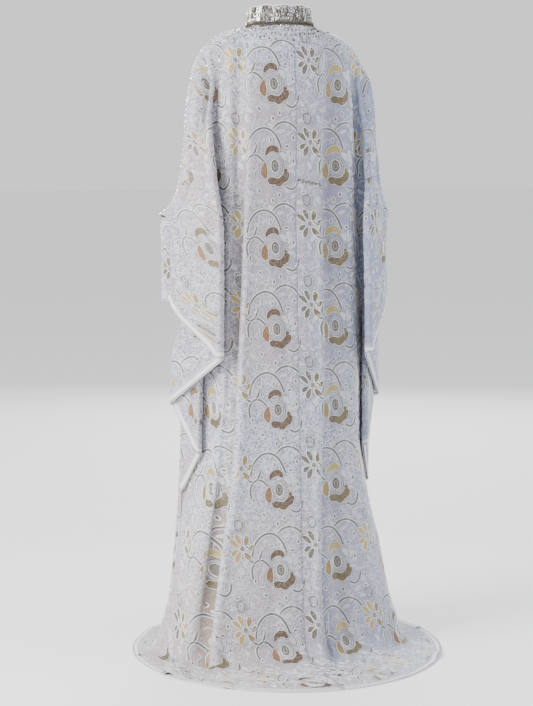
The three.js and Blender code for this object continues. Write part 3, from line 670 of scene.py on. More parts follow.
    def press_creases(self) -> None:
        """Move the cloth along its normals into the listed creases."""
        relief = np.zeros(self.level.shape)
        for crease in self.creases:
            relief += np.nan_to_num(crease.depth_at(self.across, self.level))
        calm = np.ones(len(self.columns))
        for c, (piece, t) in enumerate(self.columns):
            near = abs(piece + t - (len(TORSO) + 2 * TURNS))
            calm[c] = np.clip((near - 2 * TURNS) / 2, 0, 1)
        relief *= calm[:, None]
        relief[:, :ARC_STEPS // 2] *= SHOULDER_CALM
        relief[:, -TRAIN_STEPS - 4:] = np.maximum(relief[:, -TRAIN_STEPS - 4:], 0)
        self.relief = relief
        self.points = self.points + self.normals * relief[..., None]
        self.points[..., 2] = np.maximum(self.points[..., 2], FLOOR_Z + WALL / 2)

    def flat_size(self) -> tuple[float, float]:
        """Width and length of the piece of cloth that the panel is cut from, in metres.

        Returns:
            Width and length in metres.
        """
        wide = np.nanmax(self.spread) * MM
        long = (np.nanmax(self.level) - np.nanmin(self.level)) * MM
        return round(float(wide), 3), round(float(long), 3)

    def resample(self, values: np.ndarray) -> np.ndarray:
        """Vectors of the net at the even levels, by column and level.

        Args:
            values: vectors by column and row.

        Returns:
            Vectors by column and even level, unknown off the cloth.
        """
        out = np.full((len(self.columns), len(self.grid_levels), 3), np.nan)
        for c, used in enumerate(self.rows):
            level = self.level[c, :used][::-1]
            for axis in range(3):
                out[c, :, axis] = np.interp(self.grid_levels, level, values[c, :used][::-1, axis],
                                            left=np.nan, right=np.nan)
        return out

    def along_column(self, column: int, below_top: float) -> tuple[np.ndarray, np.ndarray]:
        """Point and outward normal on a column, some way down from the top line."""
        return self.spot_at(column, self.level[column, 0] - below_top)

    def spot_at(self, column: int, at: float) -> tuple[np.ndarray, np.ndarray]:
        """Point and outward normal on a column at one level.

        Args:
            column: which column.
            at: the level, in millimetres.

        Returns:
            The point in millimetres and a direction.
        """
        used = self.rows[column]
        level = self.level[column, :used]
        pick = [np.interp(-at, -level, self.points[column, :used, k]) for k in range(3)]
        row = min(int(np.searchsorted(-level, -at)), used - 1)
        return np.array(pick), self.normals[column, row]


class ClothMap:
    """Lays flat pattern points on a panel's outer face."""

    STEP = GRID_STEP
    EDGE_CELLS = 4

    def __init__(self, cut: PanelCut) -> None:
        """Resample the panel on an even grid of distance from the seam and level.

        Args:
            cut: the draped panel.
        """
        self.cut = cut
        self.mirrored = False
        self.flip = -1 if (cut.side is Side.LEFT) != cut.front else 1
        levels = cut.grid_levels
        distances = np.arange(0.0, np.nanmax(cut.spread), self.STEP)
        points, normals = cut.resample(cut.points), cut.resample(cut.normals)
        self.points = np.full((len(levels), len(distances), 3), np.nan)
        self.normals = self.points.copy()
        for k in range(len(levels)):
            used = cut.run_of(~np.isnan(points[:, k, 0]))
            spread = cut.spread[used, k]
            for axis in range(3):
                for grid, lines in ((self.points, points), (self.normals, normals)):
                    grid[k, :, axis] = np.interp(distances, spread, lines[used, k, axis],
                                                 left=np.nan, right=np.nan)
        valid = ~np.isnan(self.points[..., 0])
        clear = valid.copy()
        for cells in range(1, self.EDGE_CELLS + 1):
            clear[:, :-cells] &= valid[:, cells:]
            clear[:, -cells:] = False
            clear[cells:] &= valid[:-cells]
            clear[:cells] = False
        clear[:-1] &= valid[1:]
        self.clear = clear
        self.low = levels[0]
        self.reach = distances[-1]

    def place(self, flat: np.ndarray, lift: np.ndarray) -> tuple[np.ndarray, np.ndarray]:
        """Lay points on the cloth.

        Args:
            flat: pattern points, to the right of the centre seam and up, in millimetres.
            lift: heights over the cloth's middle.

        Returns:
            Points in millimetres, and whether each lies on the panel clear of its edge.
        """
        u = flat[:, 0] * self.flip / self.STEP
        v = (flat[:, 1] - self.low) / self.STEP
        rows, columns = self.clear.shape
        i = np.clip(np.floor(v).astype(int), 0, rows - 2)
        j = np.clip(np.floor(u).astype(int), 0, columns - 2)
        a, b = (v - i)[:, None], (u - j)[:, None]
        on = (u >= 0) & (u < columns - 1) & (v >= 0) & (v < rows - 1)
        on &= self.clear[i, j] & self.clear[i + 1, j] & self.clear[i, j + 1]
        on &= self.clear[i + 1, j + 1]

        def mix(grid: np.ndarray) -> np.ndarray:
            """Value of a grid between its four nearest points."""
            return ((1 - a) * ((1 - b) * grid[i, j] + b * grid[i, j + 1])
                    + a * ((1 - b) * grid[i + 1, j] + b * grid[i + 1, j + 1]))

        points = mix(self.points) + unit(mix(self.normals)) * lift[:, None]
        return np.nan_to_num(points), on


class TubeMap:
    """Lays flat pattern points round a cuff."""

    def __init__(self, cuff: "Cuff") -> None:
        """Keep the cuff whose face is dressed."""
        self.cuff = cuff
        self.mirrored = cuff.side is Side.RIGHT

    def place(self, flat: np.ndarray, lift: np.ndarray) -> tuple[np.ndarray, np.ndarray]:
        """Lay points on the cuff: across is length round it and up is height.

        Args:
            flat: pattern points, in millimetres.
            lift: heights over the cloth's middle.

        Returns:
            Points in millimetres, and whether each lies clear of the cuff's ends.
        """
        angle = flat[:, 0] / CUFF_RADIUS
        radius = self.cuff.radius_at(angle, flat[:, 1]) + lift
        x = self.cuff.side.value * (CUFF_CENTRE[0] + radius * np.cos(angle))
        y = CUFF_CENTRE[1] + radius * np.sin(angle)
        inside = (flat[:, 1] < CUFF_TOP_Z - 8) & (flat[:, 1] > CUFF_BOTTOM_Z + 8)
        return np.column_stack([x, y, flat[:, 1]]), inside


class Thread(Enum):
    """What a stitched line or patch is made of, by its material slot."""

    WHITE_CORD = 0
    SILVER_LINE = 1
    SHEER_NET = 2
    SATIN_FILL = 3


@dataclass(frozen=True)
class Tint:
    """Colour of a net patch, in linear light."""

    name: str
    rgb: tuple[float, float, float]


BRONZE = Tint("bronze", (0.062, 0.026, 0.013))
COPPER = Tint("copper", (0.17, 0.068, 0.022))
OLIVE = Tint("olive", (0.088, 0.066, 0.024))
PEWTER = Tint("pewter", (0.085, 0.078, 0.07))
GOLD = Tint("gold", (0.21, 0.145, 0.04))
STRAW = Tint("straw", (0.35, 0.27, 0.10))
PEARL = Tint("pearl", (0.78, 0.77, 0.76))


@dataclass
class Stitchery:
    """Collects raised lines and patches, and lays them on a piece of cloth."""

    cloth: "ClothMap | TubeMap"
    flat: list = field(default_factory=list)
    lift: list = field(default_factory=list)
    faces: list = field(default_factory=list)
    threads: list = field(default_factory=list)
    tints: list = field(default_factory=list)
    count: int = 0

    def line(self, path: np.ndarray, width: float | np.ndarray, height: float, thread: Thread,
             closed: bool = False, tint: Tint = PEARL, rim: float = -0.35) -> None:
        """Sew a rounded line or patch along a path.

        Args:
            path: points of its middle.
            width: its width, one value or one for each point.
            height: how far it stands over the cloth.
            thread: what it is made of.
            closed: whether it joins its own start.
            tint: colour of a net patch.
            rim: how far its edges stand over the cloth.
        """
        path = np.asarray(path, float)
        if closed:
            ahead, behind = np.roll(path, -1, 0), np.roll(path, 1, 0)
            along = unit(ahead - behind)
        else:
            along = unit(np.gradient(path, axis=0))
        left = np.column_stack([-along[:, 1], along[:, 0]])
        half = np.broadcast_to(np.asarray(width, float) / 2, len(path))[:, None]
        count = len(path)
        self.flat.append(np.concatenate([path + left * half, path, path - left * half]))
        lift = np.full(3 * count, WALL / 2 + rim)
        lift[count:2 * count] = WALL / 2 + height
        self.lift.append(lift)
        near = np.arange(count if closed else count - 1)
        far = (near + 1) % count
        sides = ((0, 1), (1, 2))
        quads = [np.column_stack([b * count + near, b * count + far, a * count + far,
                                  a * count + near]) for a, b in sides]
        quads = np.concatenate(quads)
        if not closed:
            ends = [[2 * count, count, 0, 0],
                    [2 * count - 1, 3 * count - 1, count - 1, count - 1]]
            quads = np.concatenate([quads, ends])
        self.faces.append(quads + self.count)
        self.threads.append(np.full(len(quads), thread.value))
        self.tints.append(np.tile(tint.rgb, (len(quads), 1)))
        self.count += 3 * count

    def petal(self, path: np.ndarray, width: np.ndarray, tint: Tint,
              thread: Thread = Thread.SHEER_NET, outline: float = 2.3,
              lined: bool = True) -> None:
        """Sew a filled petal or leaf with a corded edge.

        Args:
            path: points of its middle line.
            width: its width at each point.
            tint: its colour.
            thread: what fills it.
            outline: width of the cord round it.
            lined: whether a dark line shows on both sides of the cord.
        """
        path, width = np.asarray(path, float), np.asarray(width, float)
        width = width * PETAL_SWELL + PETAL_MARGIN
        fine = np.linspace(0, len(path) - 1, 2 * len(path) + 1)
        path = self.curve(path, fine)
        width = np.interp(fine, np.arange(len(width)), width)
        self.line(path, width, 0.45, thread, tint=tint, rim=0.3)
        along = unit(np.gradient(path, axis=0))
        left = np.column_stack([-along[:, 1], along[:, 0]]) * width[:, None] / 2
        edge = np.concatenate([path + left, (path - left)[::-1]])
        if lined:
            self.line(edge, outline + 2.0, 0.5, Thread.SILVER_LINE, closed=True, rim=-0.1)
        self.line(edge, outline, 1.35, Thread.WHITE_CORD, closed=True)

    @staticmethod
    def curve(points: np.ndarray, at: np.ndarray) -> np.ndarray:
        """Smooth curve through some points.

        Args:
            points: what it passes through.
            at: places along it, counted in points.

        Returns:
            A point for each place.
        """
        points = np.asarray(points, float)
        i = np.clip(np.floor(at).astype(int), 0, len(points) - 2)
        t = (at - i)[:, None]
        before, after = points[np.maximum(i - 1, 0)], points[np.minimum(i + 2, len(points) - 1)]
        p, q = points[i], points[i + 1]
        slope_p, slope_q = (q - before) / 2, (after - p) / 2
        return ((2 * t**3 - 3 * t**2 + 1) * p + (t**3 - 2 * t**2 + t) * slope_p
                + (3 * t**2 - 2 * t**3) * q + (t**3 - t**2) * slope_q)

    def stem(self, points: np.ndarray, fineness: int = 4) -> None:
        """Sew a curled stem: a silver line between two white cords.

        Args:
            points: what it passes through.
            fineness: how many steps each point gets.
        """
        points = np.asarray(points, float)
        path = self.curve(points, np.linspace(0, len(points) - 1, fineness * len(points)))
        along = unit(np.gradient(path, axis=0))
        left = np.column_stack([-along[:, 1], along[:, 0]])
        self.line(path, 5.2, 0.9, Thread.SILVER_LINE, rim=0.2)
        for way in (-1, 1):
            self.line(path + left * way * 3.5, 2.3, 1.3, Thread.WHITE_CORD)

    def ring(self, middle: tuple[float, float], size: tuple[float, float], tilt: float,
             width: float = 2.2, sides: int = 14, thread: Thread = Thread.WHITE_CORD,
             lined: bool = True) -> None:
        """Sew an oval loop of cord.

        Args:
            middle: its middle, in millimetres.
            size: half its width and half its height.
            tilt: its turn in degrees.
            width: width of the cord.
            sides: how many steps it has.
            thread: what it is made of.
            lined: whether a dark line lies under it.
        """
        turn = np.linspace(0, 2 * math.pi, sides, endpoint=False)
        path = self.oval(middle, size, tilt, turn)
        if thread is Thread.WHITE_CORD and lined:
            self.line(path, width + 2.0, 0.5, Thread.SILVER_LINE, closed=True, rim=-0.1)
        self.line(path, width, 1.3, thread, closed=True)

    @staticmethod
    def oval(middle: tuple[float, float], size: tuple[float, float], tilt: float,
             turn: np.ndarray) -> np.ndarray:
        """Points of an oval at some turns.

        Args:
            middle: its middle, in millimetres.
            size: half its width and half its height.
            tilt: its turn in degrees.
            turn: turns in radians.

        Returns:
            A point for each turn.
        """
        a = math.radians(tilt)
        x, y = size[0] * np.cos(turn), size[1] * np.sin(turn)
        return np.column_stack([middle[0] + x * math.cos(a) - y * math.sin(a),
                                middle[1] + x * math.sin(a) + y * math.cos(a)])

    def disc(self, middle: tuple[float, float], size: tuple[float, float], tilt: float,
             tint: Tint) -> None:
        """Sew a filled oval with two rings inside its edge.

        Args:
            middle: its middle, in millimetres.
            size: half its width and half its height.
            tilt: its turn in degrees.
            tint: its colour.
        """
        share = np.linspace(-0.97, 0.97, 9)
        a = math.radians(tilt)
        path = np.column_stack([middle[0] - size[1] * share * math.sin(a),
                                middle[1] + size[1] * share * math.cos(a)])
        self.line(path, 2 * size[0] * np.sqrt(1 - share**2), 0.5, Thread.SHEER_NET, tint=tint,
                  rim=0.3)
        self.ring(middle, (size[0] + 1, size[1] + 1), tilt, lined=False)
        self.ring(middle, (size[0] * 0.5, size[1] * 0.54), tilt, 1.1, 10, lined=False)

    def eyelet(self, middle: tuple[float, float], tilt: float, dark: Tint) -> None:
        """Sew a small slit with a padded white ring.

        Args:
            middle: its middle, in millimetres.
            tilt: its turn in degrees.
            dark: colour inside the ring.
        """
        a = math.radians(tilt)
        way = np.array([-math.sin(a), math.cos(a)])
        path = np.array(middle) + np.linspace(-3.6, 3.6, 4)[:, None] * way
        self.line(path, np.array([1.6, 3.8, 3.8, 1.6]), 0.5, Thread.SHEER_NET, tint=dark, rim=0.2)
        self.ring(middle, (4.1, 6.8), tilt, 2.2, 10, lined=False)

    def to_mesh(self, name: str, looks: list) -> bpy.types.Object:
        """Lay everything on the cloth as one mesh.

        Args:
            name: the piece's name.
            looks: materials in the order of Thread.

        Returns:
            The new object.
        """
        points, on = self.cloth.place(np.concatenate(self.flat), np.concatenate(self.lift))
        faces, threads = np.concatenate(self.faces), np.concatenate(self.threads)
        tints = np.concatenate(self.tints)
        kept = on[faces].all(1)
        faces, threads, tints = faces[kept], threads[kept], tints[kept]
        used, faces = np.unique(faces, return_inverse=True)
        faces = faces.reshape(-1, 4)
        if self.cloth.mirrored:
            faces = faces[:, ::-1]
        rings = [tuple(dict.fromkeys(face)) for face in faces.tolist()]
        piece = mesh_object(name, points[used] * MM, rings, looks)
        mesh = piece.data
        mesh.polygons.foreach_set("material_index", threads.astype(np.int32))
        colour = mesh.color_attributes.new("tint", "FLOAT_COLOR", "CORNER")
        sizes = np.array([len(ring) for ring in rings])
        corner = np.column_stack([tints, np.ones(len(tints))]).repeat(sizes, 0)
        colour.data.foreach_set("color", corner.astype(np.float32).ravel())
        smooth_faces(piece)
        return piece


def select_only(piece: bpy.types.Object) -> None:
    """Make one object the only selected and the active one.

    Args:
        piece: the object.
    """
    bpy.ops.object.select_all(action="DESELECT")
    piece.select_set(True)
    bpy.context.view_layer.objects.active = piece


def mesh_object(name: str, points: np.ndarray, faces: list, looks: list) -> bpy.types.Object:
    """New object from points in metres and faces.

    Args:
        name: the piece's name.
        points: its vertices.
        faces: its faces as index tuples.
        looks: its materials, slot by slot.

    Returns:
        The object, linked to the scene.
    """
    mesh = bpy.data.meshes.new(name)
    mesh.from_pydata(points.tolist(), [], faces)
    for look in looks:
        mesh.materials.append(look)
    piece = bpy.data.objects.new(name, mesh)
    bpy.context.scene.collection.objects.link(piece)
    return piece


def smooth_faces(piece: bpy.types.Object) -> None:
    """Let light run smoothly over every face of a piece."""
    faces = piece.data.polygons
    faces.foreach_set("use_smooth", np.ones(len(faces), bool))


def thicken(piece: bpy.types.Object, thickness: float) -> None:
    """Give a piece an even thickness in millimetres, half to each side.

    Args:
        piece: an open surface.
        thickness: how thick it becomes.
    """
    select_only(piece)
    shell = piece.modifiers.new("thickness", "SOLIDIFY")
    shell.thickness = thickness * MM
    shell.offset = 0.0
    bpy.ops.object.modifier_apply(modifier=shell.name)


def mend_normals(piece: bpy.types.Object) -> None:
    """Turn every face of a piece outwards.

    Args:
        piece: the object.
    """
    select_only(piece)
    bpy.ops.object.mode_set(mode="EDIT")
    bpy.ops.mesh.select_all(action="SELECT")
    bpy.ops.mesh.normals_make_consistent(inside=False)
    bpy.ops.object.mode_set(mode="OBJECT")


@dataclass
class ClothPanel:
    """A panel's cloth as a thin shell, with its edges and its flowers."""

    cut: PanelCut
    flat: tuple[float, float]
    origin: tuple[float, float]
    tones: tuple["Tones", ...]

    REPEAT = (190.0, 203.5)

    def build(self, looks: "Looks") -> list[bpy.types.Object]:
        """Make the cloth, its edge cords and its embroidery.

        Args:
            looks: the finishes.

        Returns:
            The pieces made, the cloth first.
        """
        cloth = self.cloth(looks)
        flowers = self.flowers(looks)
        edges = self.edges(looks)
        area = sum(face.area for face in cloth.data.polygons) / 2
        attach(cloth, "root")
        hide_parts(self.cut.name)
        for piece in (flowers, edges):
            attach(piece, "root")
        LOG.info("%s: cloth %.3f square metres, %d stitched faces", self.cut.name, area,
                 len(flowers.data.polygons))
        return [cloth, flowers, edges]

    def cloth(self, looks: "Looks") -> bpy.types.Object:
        """The panel's shell, with its distances as a UV map in metres and its fold depths.

        Args:
            looks: the finishes.

        Returns:
            The cloth's object.
        """
        cut = self.cut
        ids = np.full(cut.level.shape, -1)
        known = np.arange(cut.level.shape[1]) < cut.rows[:, None]
        ids[known] = np.arange(known.sum())
        faces = []
        for c in range(len(cut.columns) - 1):
            rows = min(cut.rows[c], cut.rows[c + 1]) - 1
            a, b = ids[c, :rows + 1], ids[c + 1, :rows + 1]
            faces.append(np.column_stack([a[:-1], b[:-1], b[1:], a[1:]]))
        faces = np.concatenate(faces)
        points = cut.points[known] * MM
        p, q, r = (points[faces[:, k]] for k in (0, 1, 2))
        facing = (np.cross(q - p, r - p) * cut.normals[known][faces[:, 0]]).sum(1)
        if np.sum(facing) < 0:
            faces = faces[:, ::-1]
        piece = mesh_object(cut.name + "_cloth", points, faces.tolist(), [looks.brocade])
        smooth_faces(piece)
        layer = piece.data.uv_layers.new(name="cloth")
        spots = np.column_stack([cut.across[known], cut.level[known]]) * MM
        layer.data.foreach_set("uv", spots[faces.ravel()].astype(np.float32).ravel())
        # Depth of each trough, from which the brocade paints shade into the folds
        fold = piece.data.attributes.new("fold", "FLOAT", "POINT")
        sunk = np.clip(-cut.relief[known] / DEEPEST_FOLD, 0, 1)
        fold.data.foreach_set("value", sunk.astype(np.float32))
        thicken(piece, SHELL_THICKNESS)
        return piece

    def edges(self, looks: "Looks") -> bpy.types.Object:
        """Rolled hem, flat border and two cords set back from the lower edge.

        Args:
            looks: the finishes.

        Returns:
            The cords' object.
        """
        parts = EdgeCord(self.cut)
        for inset, width, height in EDGE_CORDS:
            parts.run(inset, width, height)
        return parts.to_mesh(self.cut.name + "_hem", [looks.cord])

    def flowers(self, looks: "Looks") -> bpy.types.Object:
        """The panel's embroidery, repeat by repeat.

        Args:
            looks: the finishes.

        Returns:
            The embroidery's object.
        """
        spread = ClothMap(self.cut)
        work = Stitchery(spread)
        top, bottom = spread.low + spread.STEP * len(spread.clear), spread.low
        wide = int(spread.reach / self.REPEAT[0]) + 2
        first = math.floor((bottom - self.origin[1]) / self.REPEAT[1]) - 1
        last = math.ceil((top - self.origin[1]) / self.REPEAT[1]) + 1
        for i in range(-wide, wide + 1):
            for j in range(first, last + 1):
                x = self.origin[0] + i * self.REPEAT[0]
                y = self.origin[1] + j * self.REPEAT[1]
                tone = self.tones[min(abs(i), len(self.tones) - 1)]
                Spray((x, y), tone).sew(work)
        return work.to_mesh(self.cut.name + "_flowers",
                            [looks.cord, looks.silver_line, looks.net, looks.satin])


@dataclass
class Spray:
    """One repeat of the pattern: a rose, a daisy, curled stems, leaves and eyelets."""

    at: tuple[float, float]
    tone: "Tones"

    LEAVES = ((40, 18, 62), (46, 2, 30), (42, -14, -4), (36, 30, 95), (-62, -66, 150),
              (-74, -86, 110), (52, -74, 40), (66, -92, 5), (34, -96, 80), (-88, 22, 60),
              (-98, 2, 120), (70, -48, 130), (16, -118, 20), (-8, -104, 150))
    EYELETS = ((-5, 118, 5), (-11, 65, 0), (31, 49, 100), (48, 70, 20), (49, 12, 10),
               (-84, 62, 60), (-40, -62, 35), (76, -66, 80), (-66, -24, 0), (12, -72, 15))
    SQUIGGLES = ((-50, -10, 80), (62, -20, 20), (-30, -90, 10), (88, -10, 100), (-86, -50, 40),
                 (30, -58, 150), (96, 130, 60), (-60, 104, 160), (-96, 88, 20), (-48, 50, 110),
                 (-20, 66, 30), (2, 60, 120), (40, 84, 70), (62, 34, 10), (44, 30, 140),
                 (-54, -40, 20), (-70, 50, 50), (88, -50, 160), (-24, 110, 80), (60, 118, 20),
                 (24, -84, 60), (-52, -88, 100))

    def sew(self, work: Stitchery) -> None:
        """Sew the repeat in its place.

        Args:
            work: collects the stitches.
        """
        self.rose(work)
        self.daisy(work)
        self.stems(work)
        for x, y, tilt in self.LEAVES:
            self.leaf(work, x, y, tilt)
        for x, y, tilt in self.EYELETS:
            work.eyelet(self.to(x, y), tilt, PEWTER)
        for x, y, tilt in self.SQUIGGLES:
            self.squiggle(work, x, y, tilt)

    def to(self, x: float, y: float) -> tuple[float, float]:
        """Point of the repeat on the cloth."""
        return self.at[0] + x, self.at[1] + y

    def path(self, *points: tuple[float, float]) -> np.ndarray:
        """Points of the repeat on the cloth."""
        return np.array(points, float) + np.array(self.at)

    def rose(self, work: Stitchery) -> None:
        """Rose: ringed middle, crescent above, petal at the left, lobed petal below.

        Args:
            work: collects the stitches.
        """
        tone = self.tone
        work.disc(self.to(0, 0), (10, 15.5), 6, tone.middle)
        work.ring(self.to(1, -1), (17, 22.5), 8)
        work.ring(self.to(2, -2), (20.5, 26), 10, 1.6)
        work.petal(self.path((-24, 26), (-19, 37), (-9, 43.5), (2, 42), (9, 32)),
                   (3, 10, 13, 12, 4), tone.crescent)
        work.petal(self.path((-25, 9), (-27.5, -5), (-27.5, -19), (-23, -31)),
                   (2.5, 13, 14.5, 4), tone.left)
        work.petal(self.path((-16, -29), (-9, -37), (1, -37), (10, -41), (19, -35), (27, -29),
                             (31, -17), (25, -6)),
                   (7, 16, 12, 17, 13, 16, 12, 4), tone.lower)
        work.petal(self.path((14, 32), (22, 26), (28, 14)), (3, 8, 3), PEARL, Thread.SATIN_FILL)

    def daisy(self, work: Stitchery) -> None:
        """Daisy: a loose fan of seven petals with a loop over it.

        Args:
            work: collects the stitches.
        """
        x, y = 89.0, 62.0
        tone = self.tone

        def petal(start: tuple, end: tuple, width: float, tint: Tint) -> None:
            """One petal from its inner to its outer end.

            Args:
                start: its inner end.
                end: its outer end.
                width: its width.
                tint: its colour.
            """
            a, b = np.array(start, float), np.array(end, float)
            turn = np.array([b[1] - a[1], a[0] - b[0]]) * 0.06
            path = self.path(*(np.array([a, a * 0.6 + b * 0.4 + turn, b * 0.7 + a * 0.3 + turn, b])
                               + [x, y]))
            work.petal(path, (2.5, width, width, 3), tint, lined=False)

        petal((-9, 1), (-30, 20), 8.5, tone.daisy_a)
        petal((-2, 8), (-15, 33), 9, tone.daisy_a)
        petal((11, 4), (13, 30), 9.5, tone.daisy_b)
        petal((17, -7), (33, 6), 9, tone.daisy_b)
        petal((9, -13), (26, -31), 9.5, tone.daisy_b)
        petal((-9, -7), (-24, -20), 9, tone.daisy_a)
        petal((-2, -12), (-11, -38), 10, tone.daisy_a)
        work.disc((self.at[0] + x + 3, self.at[1] + y - 3), (5.5, 6.5), 20, tone.middle)
        work.ring((self.at[0] + x - 6, self.at[1] + y + 57), (14, 19), 12, 2.4)
        work.ring((self.at[0] + x - 6, self.at[1] + y + 56), (9.5, 14), 12, 2.0,
                  thread=Thread.SILVER_LINE)

    def stems(self, work: Stitchery) -> None:
        """Curled stems from flower to flower.

        Args:
            work: collects the stitches.
        """
        work.stem(self.path((-73, 38), (-66, 66), (-50, 86), (-30, 94), (-10, 88), (6, 70),
                            (17, 44)))
        work.stem(self.path((-6, 92), (8, 105), (28, 109), (48, 100), (60, 86)))
        work.stem(self.path((106, 32), (122, 22), (137, 33), (143, 52)))
        work.stem(self.path((30, -52), (46, -58), (58, -48), (62, -30)))
        work.stem(self.path((-30, 12), (-46, 26), (-62, 24), (-74, 6), (-72, -18)))
        thin = work.curve(self.path((-40, 82), (-42, 62), (-52, 46), (-66, 38)),
                          np.linspace(0, 3, 12))
        work.line(thin, 1.8, 0.8, Thread.WHITE_CORD)

    def leaf(self, work: Stitchery, x: float, y: float, tilt: float) -> None:
        """A small white leaf, its point along the tilt.

        Args:
            work: collects the stitches.
            x: place across in the repeat.
            y: place up in the repeat.
            tilt: where its point lies, in degrees.
        """
        a = math.radians(tilt)
        way, side = np.array([math.cos(a), math.sin(a)]), np.array([-math.sin(a), math.cos(a)])
        middle = np.array(self.to(x, y))
        path = middle + np.array([-9, -3, 4, 10])[:, None] * way \
            + np.array([0, 1.2, 1.0, -0.6])[:, None] * side
        path = work.curve(path, np.linspace(0, 3, 7))
        width = np.array([1.0, 4.6, 6.6, 6.8, 5.8, 3.8, 1.0])
        work.line(path, width - 0.6, 0.6, Thread.SATIN_FILL)
        half = np.array([[-way[1], way[0]]]) * width[:, None] / 2
        work.line(np.concatenate([path + half, (path - half)[::-1]]), 1.7, 1.2,
                  Thread.WHITE_CORD, closed=True)

    def squiggle(self, work: Stitchery, x: float, y: float, tilt: float) -> None:
        """A short wandering white cord.

        Args:
            work: collects the stitches.
            x: place across in the repeat.
            y: place up in the repeat.
            tilt: its turn in degrees.
        """
        a = math.radians(tilt)
        t = np.linspace(0, 1, 9)
        wave = 5.0 * np.sin(t * 2 * math.pi) * (0.6 + 0.6 * t)
        path = np.array(self.to(x, y)) + np.column_stack(
            [math.cos(a) * 26 * (t - 0.5) - math.sin(a) * wave,
             math.sin(a) * 26 * (t - 0.5) + math.cos(a) * wave])
        work.line(path, 1.7, 1.0, Thread.WHITE_CORD)


@dataclass(frozen=True)
class Tones:
    """Colours of one repeat's petals."""

    middle: Tint
    crescent: Tint
    left: Tint
    lower: Tint
    daisy_a: Tint
    daisy_b: Tint


BRONZE_TONES = Tones(PEWTER, BRONZE, COPPER, BRONZE, PEWTER, OLIVE)
OLIVE_TONES = Tones(PEWTER, OLIVE, COPPER, OLIVE, PEWTER, GOLD)
GOLD_TONES = Tones(PEWTER, STRAW, GOLD, OLIVE, STRAW, GOLD)


class EdgeCord:
    """Cords that follow a panel's lower edge at a set distance."""

    def __init__(self, cut: PanelCut) -> None:
        """Start with no cord.

        Args:
            cut: the draped panel.
        """
        self.cut = cut
        self.points: list[np.ndarray] = []
        self.faces: list[tuple] = []
        self.count = 0

    def run(self, inset: float, width: float, height: float) -> None:
        """Lay one cord.

        Args:
            inset: distance from the edge.
            width: the cord's width.
            height: how far it stands over the cloth.
        """
        cut = self.cut
        spots, outs, breaks = [], [], []
        for c, used in enumerate(cut.rows):
            if c and used != cut.rows[c - 1]:
                breaks.append(len(spots))
            spot, out = cut.spot_at(c, cut.level[c, used - 1] + inset)
            spots.append(spot)
            outs.append(out)
        spots, outs = np.array(spots), np.array(outs)
        for start, end in zip([0] + breaks, breaks + [len(spots)]):
            self.strip(spots[start:end], outs[start:end], width, height, inset == 0.0)

    def strip(self, path: np.ndarray, out: np.ndarray, width: float, height: float,
              rolled: bool) -> None:
        """One unbroken stretch of cord, round a rolled edge or flat on the face.

        Args:
            path: points of its middle.
            out: outward directions along it.
            width: its width.
            height: how far it stands over the cloth.
            rolled: whether it goes round the cloth's edge.
        """
        along = unit(np.gradient(path, axis=0))
        side = unit(np.cross(along, out))
        reach = 0.5 if rolled else WALL / 2 - 0.3
        top = (width / 2 if rolled else WALL / 2) + height * (0 if rolled else 1)
        low = -width / 2 if rolled else reach
        rings = [path + side * width / 2 + out * (0 if rolled else low),
                 path + out * top,
                 path - side * width / 2 + out * (0 if rolled else low),
                 path + out * low]
        count = len(path)
        for k in range(4):
            rings[k][:, 2] = np.maximum(rings[k][:, 2], FLOOR_Z)
            a, b = k * count, ((k + 1) % 4) * count
            for i in range(count - 1):
                self.faces.append((self.count + a + i, self.count + a + i + 1,
                                   self.count + b + i + 1, self.count + b + i))
        for i in (0, count - 1):
            self.faces.append(tuple(self.count + k * count + i for k in range(4)))
        self.points += rings
        self.count += 4 * count

    def to_mesh(self, name: str, looks: list) -> bpy.types.Object:
        """All cords as one mesh.

        Args:
            name: the piece's name.
            looks: the cords' material.

        Returns:
            The new object.
        """
        piece = mesh_object(name, np.concatenate(self.points) * MM, self.faces, looks)
        smooth_faces(piece)
        mend_normals(piece)
        return piece


